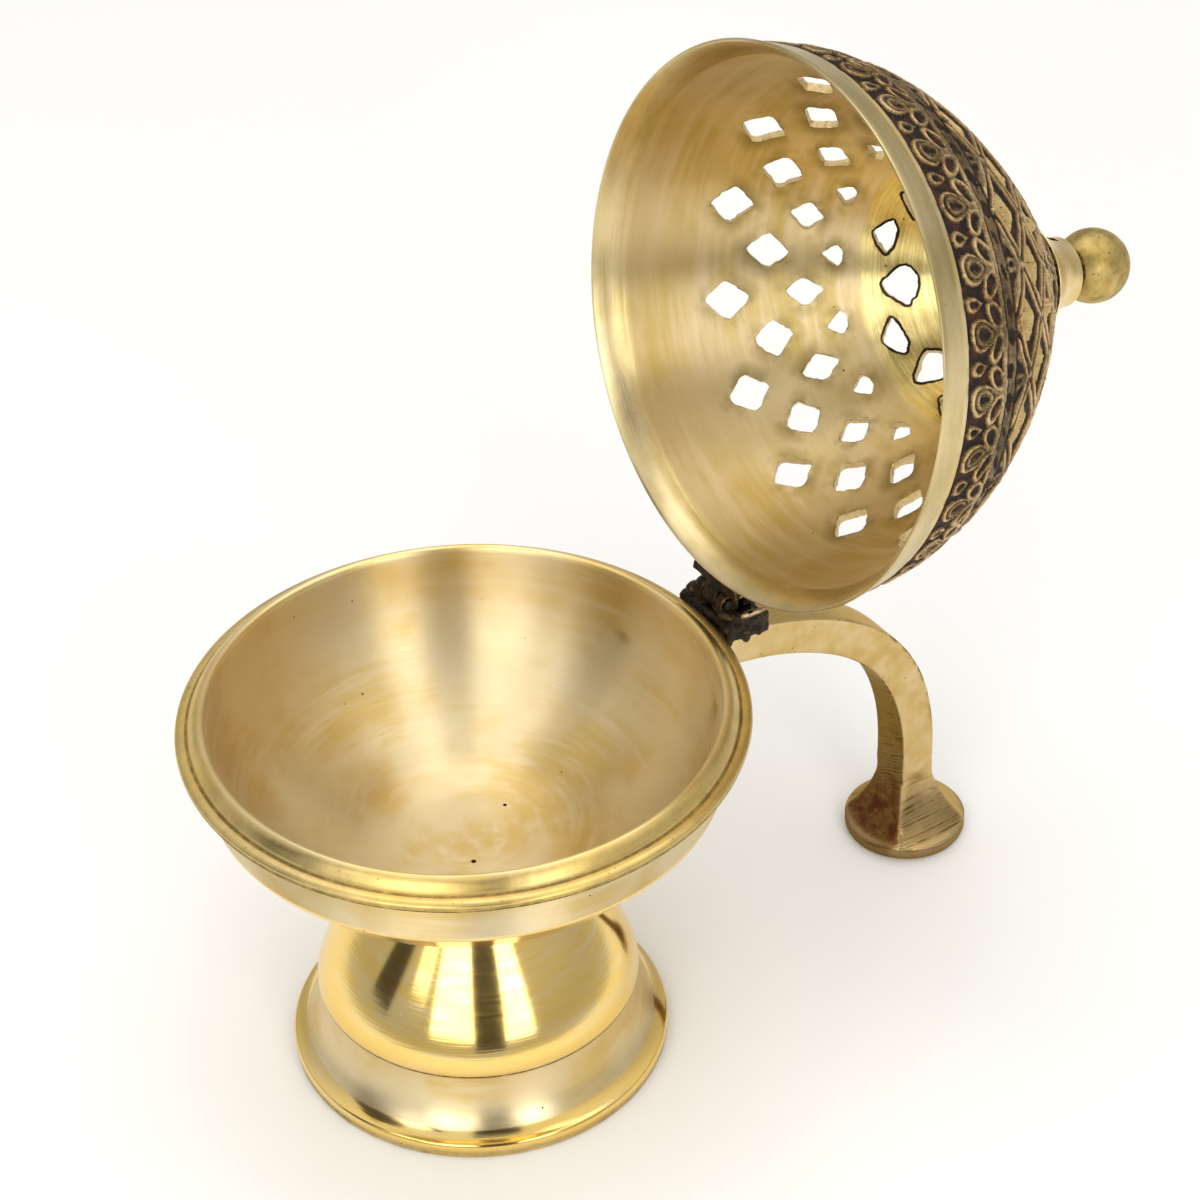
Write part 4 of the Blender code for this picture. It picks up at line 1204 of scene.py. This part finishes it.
def lattice(angle, height, radius):
    """Double-line straps over a sunk ground, with bosses, leaves and a top ring."""
    strap, crossing = strap_distance(angle, height, radius)
    h = np.full(strap.shape, -0.62)
    h = beaded(h, strap - 0.86, 0.50, 0.46)
    h = np.where(strap < 0.38, -0.30, h)
    h = np.maximum(h, np.clip(0.62 - 0.55 * crossing, -0.62, 0.5))
    turn = abs(folded(angle, LATTICE_PHASE, CELL)) * radius
    leaf = oval(turn, height, (3.4, 22.75), (2.9, 0.75), -46)
    h = beaded(h, leaf + 0.5, 0.55, 0.28, 0.35)
    vein = oval(turn, height, (0.0, 21.9), (0.9, 1.9))
    h = beaded(h, vein, 0.45, 0.15, 0.45)
    return beaded(h, height - RING_TOP, 0.75, 0.40)


def crown_leaves(angle, height, radius):
    """V leaves that run from the top ring to the collar, round each crown hole."""
    x = folded(angle, LATTICE_PHASE + CELL / 2, CELL) * radius
    edge = folded(angle, LATTICE_PHASE, CELL) * radius
    share = np.clip((height - RING_TOP) / (58.0 - RING_TOP), 0, 1)
    h = np.full(np.broadcast(x, height).shape, -0.5)
    for distance, half in ((abs(edge), 0.55), (abs(abs(edge) - 1.5 - 1.1 * (1 - share)), 0.5)):
        h = beaded(h, distance, half, 0.4)
    h = beaded(h, height - 46.2 - 0.75 * abs(x), 0.55, 0.35)
    return beaded(h, height - 57.6, 0.8, 0.42)


def softened(grid, passes):
    """Blur a grid that wraps round along its second axis."""
    for _ in range(passes):
        grid = (np.roll(grid, 1, 1) + 2 * grid + np.roll(grid, -1, 1)) / 4
        padded = np.pad(grid, ((1, 1), (0, 0)), mode="edge")
        grid = (padded[:-2] + 2 * padded[1:-1] + padded[2:]) / 4
    return grid


def ornament(radii, heights, columns):
    """Relief of the dome's outside, and its tone: 0 in the hollows, 1 on the ridges."""
    rng = np.random.default_rng(14)
    angle = (2 * pi * np.arange(columns) / columns)[None, :]
    height, radius = heights[:, None], radii[:, None]
    shape = (len(heights), columns)
    grain = rng.standard_normal(shape)
    wander = softened(rng.standard_normal(shape), 18)
    wander /= wander.std()
    angle = angle + 0.0035 * wander
    height = height + 0.10 * np.roll(wander, 211, axis=1)
    radius = np.broadcast_to(radius, shape)

    h = np.zeros(shape)
    bands = (
        (6.6, 7.1, -0.5),
        (7.1, 15.75, scroll_band(angle, height, radius)),
        (15.75, 17.2, 0.30),
        (17.2, 20.5, bead_band(angle, height, radius, wander)),
        (20.5, 45.0, lattice(angle, height, radius)),
        (45.0, 99.0, crown_leaves(angle, height, radius)),
    )
    for low, high, level in bands:
        h = np.where((height > low) & (height <= high), level, h)
    h = np.where((abs(height - 17.35) < 0.3) | (abs(height - 20.6) < 0.25), -0.45, h)
    figured = np.clip((heights[:, None] - 6.4) / 0.5, 0, 1)
    h = 0.6 * h + 0.4 * softened(h, 1) + figured * 0.07 * softened(grain, 1)
    h *= figured
    proud = h - softened(h, 7)
    tone = np.clip(0.40 + 0.85 * proud + 0.55 * h, 0, 1)
    return h, tone * figured + 1 - figured


# ---------------- lid

def dome_rows():
    """Outline of the dome's outside: radius, height and normal of every row."""
    shares = even_shares(DOME_CURVE, DOME_ROWS)
    points = np.array([bezier(DOME_CURVE, t) for t in shares])
    normals = np.array([bezier_normal(DOME_CURVE, t) for t in shares])
    return points, normals


def inner_outline():
    """Outline of the lid's inside, from the crown's hole down to the mouth."""
    dome = inner_dome()
    outline = [(mix(STUD_HOLE, dome[0][0], k / 5), CROWN_INSIDE) for k in range(5)]
    outline += dome
    start = dome[-1]
    outline += [(mix(start[0], BEVEL_RADIUS - 0.06, t), mix(start[1], BEVEL_HEIGHT + 0.12, t))
                for t in (0.5, 1.0)]
    edge = Vector((MOUTH_RADIUS - 0.75, 0.35))
    for k in range(9):
        t = k / 8
        crowned = 0.22 * sin(pi * t)
        outline.append((mix(BEVEL_RADIUS, edge.x, t) - crowned, mix(BEVEL_HEIGHT, edge.y, t) - crowned))
    outline += [(edge.x + 0.25, 0.1)]
    return outline


def inner_dome():
    points = []
    for t in even_shares(DOME_CURVE, 120)[::-1]:
        point = bezier(DOME_CURVE, t) - bezier_normal(DOME_CURVE, t) * DOME_WALL
        if BEVEL_HEIGHT + 1.5 < point.y < CROWN_INSIDE - 0.4:
            step = 0.18 if point.y > CROWN_STEP else 0.0
            points.append((point.x - step, point.y))
    return points


def hole_outline(height, half_height, half_angle, diamond, rng):
    """Wandering outline of one hole as (angle, height) points, its corners rounded."""
    if diamond:
        corners = [(0, -1), (1, 0), (0, 1), (-1, 0)]
    else:
        corners = [(0, -1), (1, 0.45), (0.45, 1), (-0.45, 1), (-1, 0.45)]
    ragged = [(x + rng.uniform(-0.09, 0.09), y + rng.uniform(-0.09, 0.09)) for x, y in corners]
    points = []
    for k, here in enumerate(ragged):
        before, after = Vector(ragged[k - 1]), Vector(ragged[(k + 1) % len(ragged)])
        here = Vector(here)
        start, end = here + (before - here) * 0.22, here + (after - here) * 0.22
        for t in (0.0, 0.33, 0.67, 1.0):
            points.append(start * (1 - t) ** 2 + here * 2 * t * (1 - t) + end * t * t)
        following = after + (here - after) * 0.22
        points += [end.lerp(following, t) for t in (0.25, 0.5, 0.75)]
    outline = []
    for point in points:
        point = point + Vector((rng.uniform(-0.035, 0.035), rng.uniform(-0.035, 0.035)))
        outline.append((point.x * half_angle, height + point.y * half_height))
    return outline


def pierce_tools(edge_finish):
    """One mesh of prisms that run through the dome's wall along its normal."""
    rng = np.random.default_rng(5)
    heights = np.linspace(0.0, 1.0, 400)
    rise = np.array([bezier(DOME_CURVE, t).y for t in heights])
    points, faces = [], []
    for rows, diamond in ((DIAMOND_ROWS, True), (KITE_ROWS, False)):
        for height, half_height, half_angle, offset, stride in rows:
            for k in range(0, LATTICE_CELLS, stride):
                centre = LATTICE_PHASE + (k + offset) * CELL
                outline = hole_outline(height, half_height, half_angle, diamond, rng)
                first = len(points)
                for depth, scale in ((-DOME_WALL - 1.5, 1.08), (2.0, 1.20)):
                    for turn, level in outline:
                        turn, level = turn * scale, height + (level - height) * scale
                        share = float(np.interp(level, rise, heights))
                        point = bezier(DOME_CURVE, share) + bezier_normal(DOME_CURVE, share) * depth
                        angle = centre + turn
                        points.append((point.x * cos(angle), point.x * sin(angle), point.y))
                count = len(outline)
                faces += ring_faces(first, first + count, count)
                faces.append(list(range(first, first + count))[::-1])
                faces.append(list(range(first + count, first + 2 * count)))
    tool = finish_mesh("pierce_tools", points, faces, LID)
    tool.data.materials.append(edge_finish)
    return tool


def make_lid(inside_finish, relief_finish, edge_finish):
    """Closed dome: a fine grid outside, a coarser one inside, joined at two flat rings."""
    outline, normals = dome_rows()
    relief, tone = ornament(outline[:, 0], outline[:, 1], DOME_COLUMNS)
    first, top = outline[0], DOME_CURVE[-1]
    band = [(MOUTH_RADIUS - 0.35, 0.0), (MOUTH_RADIUS - 0.1, 0.08), (MOUTH_RADIUS, 0.35)]
    band += [(mix(MOUTH_RADIUS, first[0], t), mix(0.35, first[1], t)) for t in (0.2, 0.4, 0.6, 0.8)]
    crown = [(mix(top[0], STUD_HOLE, t), top[1]) for t in (0.5, 1.0)]

    ends = ((len(band), len(crown)), (0, 0))
    radii, rises = (np.pad(normals[:, k, None] * relief, ends)
                    + np.vstack([band, outline, crown])[:, k, None] for k in (0, 1))
    tones = np.pad(tone, ends, constant_values=((1, 0), (0, 0)))
    angles = 2 * pi * np.arange(DOME_COLUMNS) / DOME_COLUMNS
    outer = np.stack([radii * np.cos(angles), radii * np.sin(angles), rises], axis=2).reshape(-1, 3)
    faces, kinds = [], []
    for k in range(len(radii) - 1):
        faces += ring_faces(k * DOME_COLUMNS, (k + 1) * DOME_COLUMNS, DOME_COLUMNS)
        kinds += [RELIEF_SLOT if k >= len(band) else INSIDE_SLOT] * DOME_COLUMNS

    columns = DOME_COLUMNS // 2
    inner_angles = angles[::2]
    inner, base = [], len(outer)
    rows = inner_outline()
    for radius, height in rows:
        inner += [(radius * cos(a), radius * sin(a), height) for a in inner_angles]
    for k in range(len(rows) - 1):
        faces += ring_faces(base + k * columns, base + (k + 1) * columns, columns)
    last_outer = (len(radii) - 1) * DOME_COLUMNS
    last_inner = base + (len(rows) - 1) * columns
    for j in range(columns):
        after = (j + 1) % columns
        fan = [2 * j, 2 * j + 1, (2 * j + 2) % DOME_COLUMNS]
        faces.append([last_outer + i for i in fan] + [base + after, base + j])
        faces.append([last_inner + j, last_inner + after] + fan[::-1])
    kinds += [INSIDE_SLOT] * (len(faces) - len(kinds))

    lid = finish_mesh("lid_dome", np.vstack([outer, inner]), faces, LID)
    for finish in (inside_finish, relief_finish):
        lid.data.materials.append(finish)
    lid.data.polygons.foreach_set("material_index", kinds)
    set_shares(lid.data, "tone", np.r_[tones.ravel(), np.zeros(len(inner))])
    combined(lid, pierce_tools(edge_finish), "DIFFERENCE", 40.0)
    mark_hole_edges(lid.data)
    return placed(lid, None, "lid", "lid_brass", "lid")


def mark_hole_edges(mesh):
    """Shares that fade away from the holes' edges, for the stains and singed outlines there."""
    place = read(mesh.vertices, "co", 3) / MM
    corner = read(mesh.loops, "vertex_index", kind=np.int32)
    sides = read(mesh.polygons, "loop_total", kind=np.int32)
    slot = np.repeat(read(mesh.polygons, "material_index", kind=np.int32), sides)
    walls, inside = np.unique(corner[slot == HOLE_SLOT]), np.unique(corner[slot == INSIDE_SLOT])
    tree = KDTree(len(walls))
    for k, point in enumerate(place[walls]):
        tree.insert(point, k)
    tree.balance()
    gap = np.full(len(place), 100.0)
    for k in inside[place[inside, 2] > BEVEL_HEIGHT + 4.0]:
        gap[k] = tree.find(place[k])[2]
    crown = np.clip((place[:, 2] - CROWN_STEP + 2.0) / 2.0, 0, 1)
    set_shares(mesh, "edge", np.clip(1 - gap / 3.0, 0, 1))
    set_shares(mesh, "singe", np.clip(1 - gap / 1.6, 0, 1) * (0.66 + 0.36 * crown))


# ---------------- finial

def make_finial(collar_finish, ball_finish, nut_finish):
    base, end = COLLAR
    wide, narrow = COLLAR_BASE_RADIUS, COLLAR_END_RADIUS
    flare = ((wide, base + 0.5), (8.4, base + 2.6), (6.8, base + 5.6), (narrow, end - 0.6))
    section = [
        (STUD_HOLE, base, 0, "satin"),
        (wide - 0.3, base, 0.2, "crevice"),
        (wide, base + 0.3, 0.2, "worn"),
    ]
    section += [(*bezier(flare, k / 20), 0, "satin") for k in range(1, 21)]
    section += [
        (narrow, end - 0.2, 0.25, "worn"),
        (narrow - 0.7, end, 0.3, "worn"),
        (narrow - 2.0, end - 0.1, 0.2, "crevice"),
        (STUD_HOLE, end, 0, "aged"),
    ]
    collar = turned("finial_collar_turned", section, LID, 192, closed=True)
    tool = [[(x, y, z) for x, y in ((5.6, -0.8), (12.5, -0.8), (12.5, 0.8), (5.6, 0.8))]
            for z in (base + 5.6, base + 7.9)]
    turn = Matrix.Rotation(radians(176), 4, "Z")
    combined(collar, lofted("notch", tool, LID @ turn), "DIFFERENCE")
    placed(collar, collar_finish, "lid", "satin_brass", "finial_collar")

    start = -pi / 2 + 0.46
    section = [
        (0.0, STUD_END, 0, "aged"),
        (STUD_RADIUS - 0.4, STUD_END, 0.2, "aged"),
        (STUD_RADIUS, STUD_END + 0.4, 0.2, "aged"),
        (STUD_RADIUS, end + GAP, 0, "aged"),
        (3.2, end + GAP, 0, "crevice"),
    ]
    for k in range(49):
        angle = mix(start, pi / 2, k / 48)
        radius = max(BALL_RADIUS * cos(angle), 0.0)
        zone = "aged" if k > 3 else "crevice"
        section.append((radius, BALL_CENTRE + BALL_RADIUS * sin(angle), 0, zone))
    section[-1] = (0.0, BALL_CENTRE + BALL_RADIUS, 0, "aged")
    ball = turned("finial_ball_turned", section, LID, 144)
    placed(ball, ball_finish, "lid", "antique_brass", "finial_ball")

    top = CROWN_INSIDE - GAP
    nut = [
        (NUT_RADIUS, top - NUT_HEIGHT, 0, "worn"),
        (NUT_RADIUS, top, 0, "worn"),
        (STUD_HOLE, top, 0, "aged"),
        (STUD_HOLE, top - NUT_HEIGHT, 0, "aged"),
    ]
    hexagon = turned("finial_nut_hex", nut, LID, 6, closed=True)
    modified(hexagon, "BEVEL", width=0.28 * MM, segments=3, limit_method="ANGLE")
    shade(hexagon.data, 40.0)
    placed(hexagon, nut_finish, "lid", "fastener_brass", "finial_nut")


# ---------------- studio and camera

def plain_material(name, colour, roughness):
    s = Shader(name, 0.0)
    tint = s.blend(s.patches(0.004, 2), colour, tuple(0.985 * c for c in colour))
    s.set("Base Color", tint)
    s.set("Roughness", roughness)
    return s.material


def add_sheet(name, width, height, material):
    mesh = bpy.data.meshes.new(name)
    w, h = width / 2, height / 2
    mesh.from_pydata([(-w, -h, 0), (w, -h, 0), (w, h, 0), (-w, h, 0)], [], [(0, 1, 2, 3)])
    mesh.materials.append(material)
    sheet = add_object(name, mesh)
    return sheet


def add_card(name, azimuth, elevation, distance, width, height, colour):
    """A dark card of the studio, seen only in reflections."""
    card = add_sheet(name, width, height, plain_material(name + "_felt", colour, 0.9))
    place_towards(card, azimuth, elevation, distance)
    card.visible_camera = False
    card.visible_shadow = False
    card.visible_diffuse = False


def place_towards(item, azimuth, elevation, distance):
    """Stand item off from the object and turn its face, -Z, towards it."""
    a, e = radians(azimuth), radians(elevation)
    out = Vector((cos(a) * cos(e), sin(a) * cos(e), sin(e)))
    item.location = Vector((0, 0, AIM_HEIGHT)) + out * distance
    item.rotation_mode = "QUATERNION"
    item.rotation_quaternion = (-out).to_track_quat("-Z", "Y")


def add_softbox(name, azimuth, elevation, distance, width, height, radiance):
    data = bpy.data.lights.new(name, "AREA")
    data.shape = "RECTANGLE"
    data.size, data.size_y = width, height
    data.energy = radiance * width * height * pi
    light = add_object(name, data)
    light.visible_camera = False
    place_towards(light, azimuth, elevation, distance)


def make_studio():
    floor_white = plain_material("floor_white", (0.94, 0.94, 0.93), 0.7)
    floor = add_sheet("floor", FLOOR_SIZE, FLOOR_SIZE, floor_white)
    floor.location.z = -FLOOR_DROP

    for softbox in SOFTBOXES:
        add_softbox(*softbox)
    for card in CARDS:
        add_card(*card)

    world = bpy.data.worlds.new("studio_world")
    bpy.context.scene.world = world
    world.use_nodes = True
    tree = world.node_tree
    background = tree.nodes["Background"]
    spot = tree.nodes.new("ShaderNodeTexCoord")
    rise = tree.nodes.new("ShaderNodeSeparateXYZ")
    ramp = tree.nodes.new("ShaderNodeValToRGB")
    tree.links.new(spot.outputs["Generated"], rise.inputs[0])
    tree.links.new(rise.outputs[2], ramp.inputs[0])
    tree.links.new(ramp.outputs[0], background.inputs["Color"])
    elements = ramp.color_ramp.elements
    while len(elements) < len(SKY):
        elements.new(0.5)
    for element, (position, level) in zip(elements, SKY):
        element.position = position
        element.color = (*(level * tint for tint in SKY_TINT), 1.0)
    background.inputs["Strength"].default_value = 1.0
    bpy.context.scene.view_settings.view_transform = "Standard"


def make_camera():
    """The main viewpoint, looking down at the bowl and into the open lid."""
    turn, rise, roll = CAMERA_TURN, CAMERA_RISE, CAMERA_ROLL
    back = Vector((sin(turn) * cos(rise), -cos(turn) * cos(rise), sin(rise)))
    right = Vector((cos(turn), sin(turn), 0))
    up = right.cross(-back)
    ahead = (-back + right * CAMERA_AIM[0] + up * CAMERA_AIM[1]).normalized()
    level = ahead.cross(Vector((0, 0, 1))).normalized()
    above = level.cross(ahead)
    x_axis = level * cos(roll) + above * sin(roll)
    y_axis = above * cos(roll) - level * sin(roll)
    data = bpy.data.cameras.new("camera")
    data.lens = CAMERA_LENS
    data.sensor_width = CAMERA_SENSOR
    data.clip_start = 0.05
    camera = add_object("camera", data)
    place = Matrix((x_axis, y_axis, -ahead)).transposed().to_4x4()
    place.translation = BOWL_AXIS + (back * CAMERA_DISTANCE + Vector((0, 0, 1))) * FLANGE_RADIUS * MM
    camera.matrix_world = place
    bpy.context.scene.camera = camera


def main():
    make_camera()
    ball_finish = turned_brass("ball")
    fastener_finish = turned_brass("fastener")
    make_bowl(turned_brass("bowl", FLOOR_PITS))
    make_foot(turned_brass("foot"))
    make_foot_fixing(fastener_finish)
    make_handle(filed_brass())
    make_handle_rivets(fastener_finish)
    make_hinge(blackened_brass(), ball_finish)
    make_lid(lid_inside_brass(), relief_brass(), pierced_edge())
    make_lug_rivets(ball_finish)
    make_finial(turned_brass("collar"), ball_finish, fastener_finish)
    make_studio()


main()
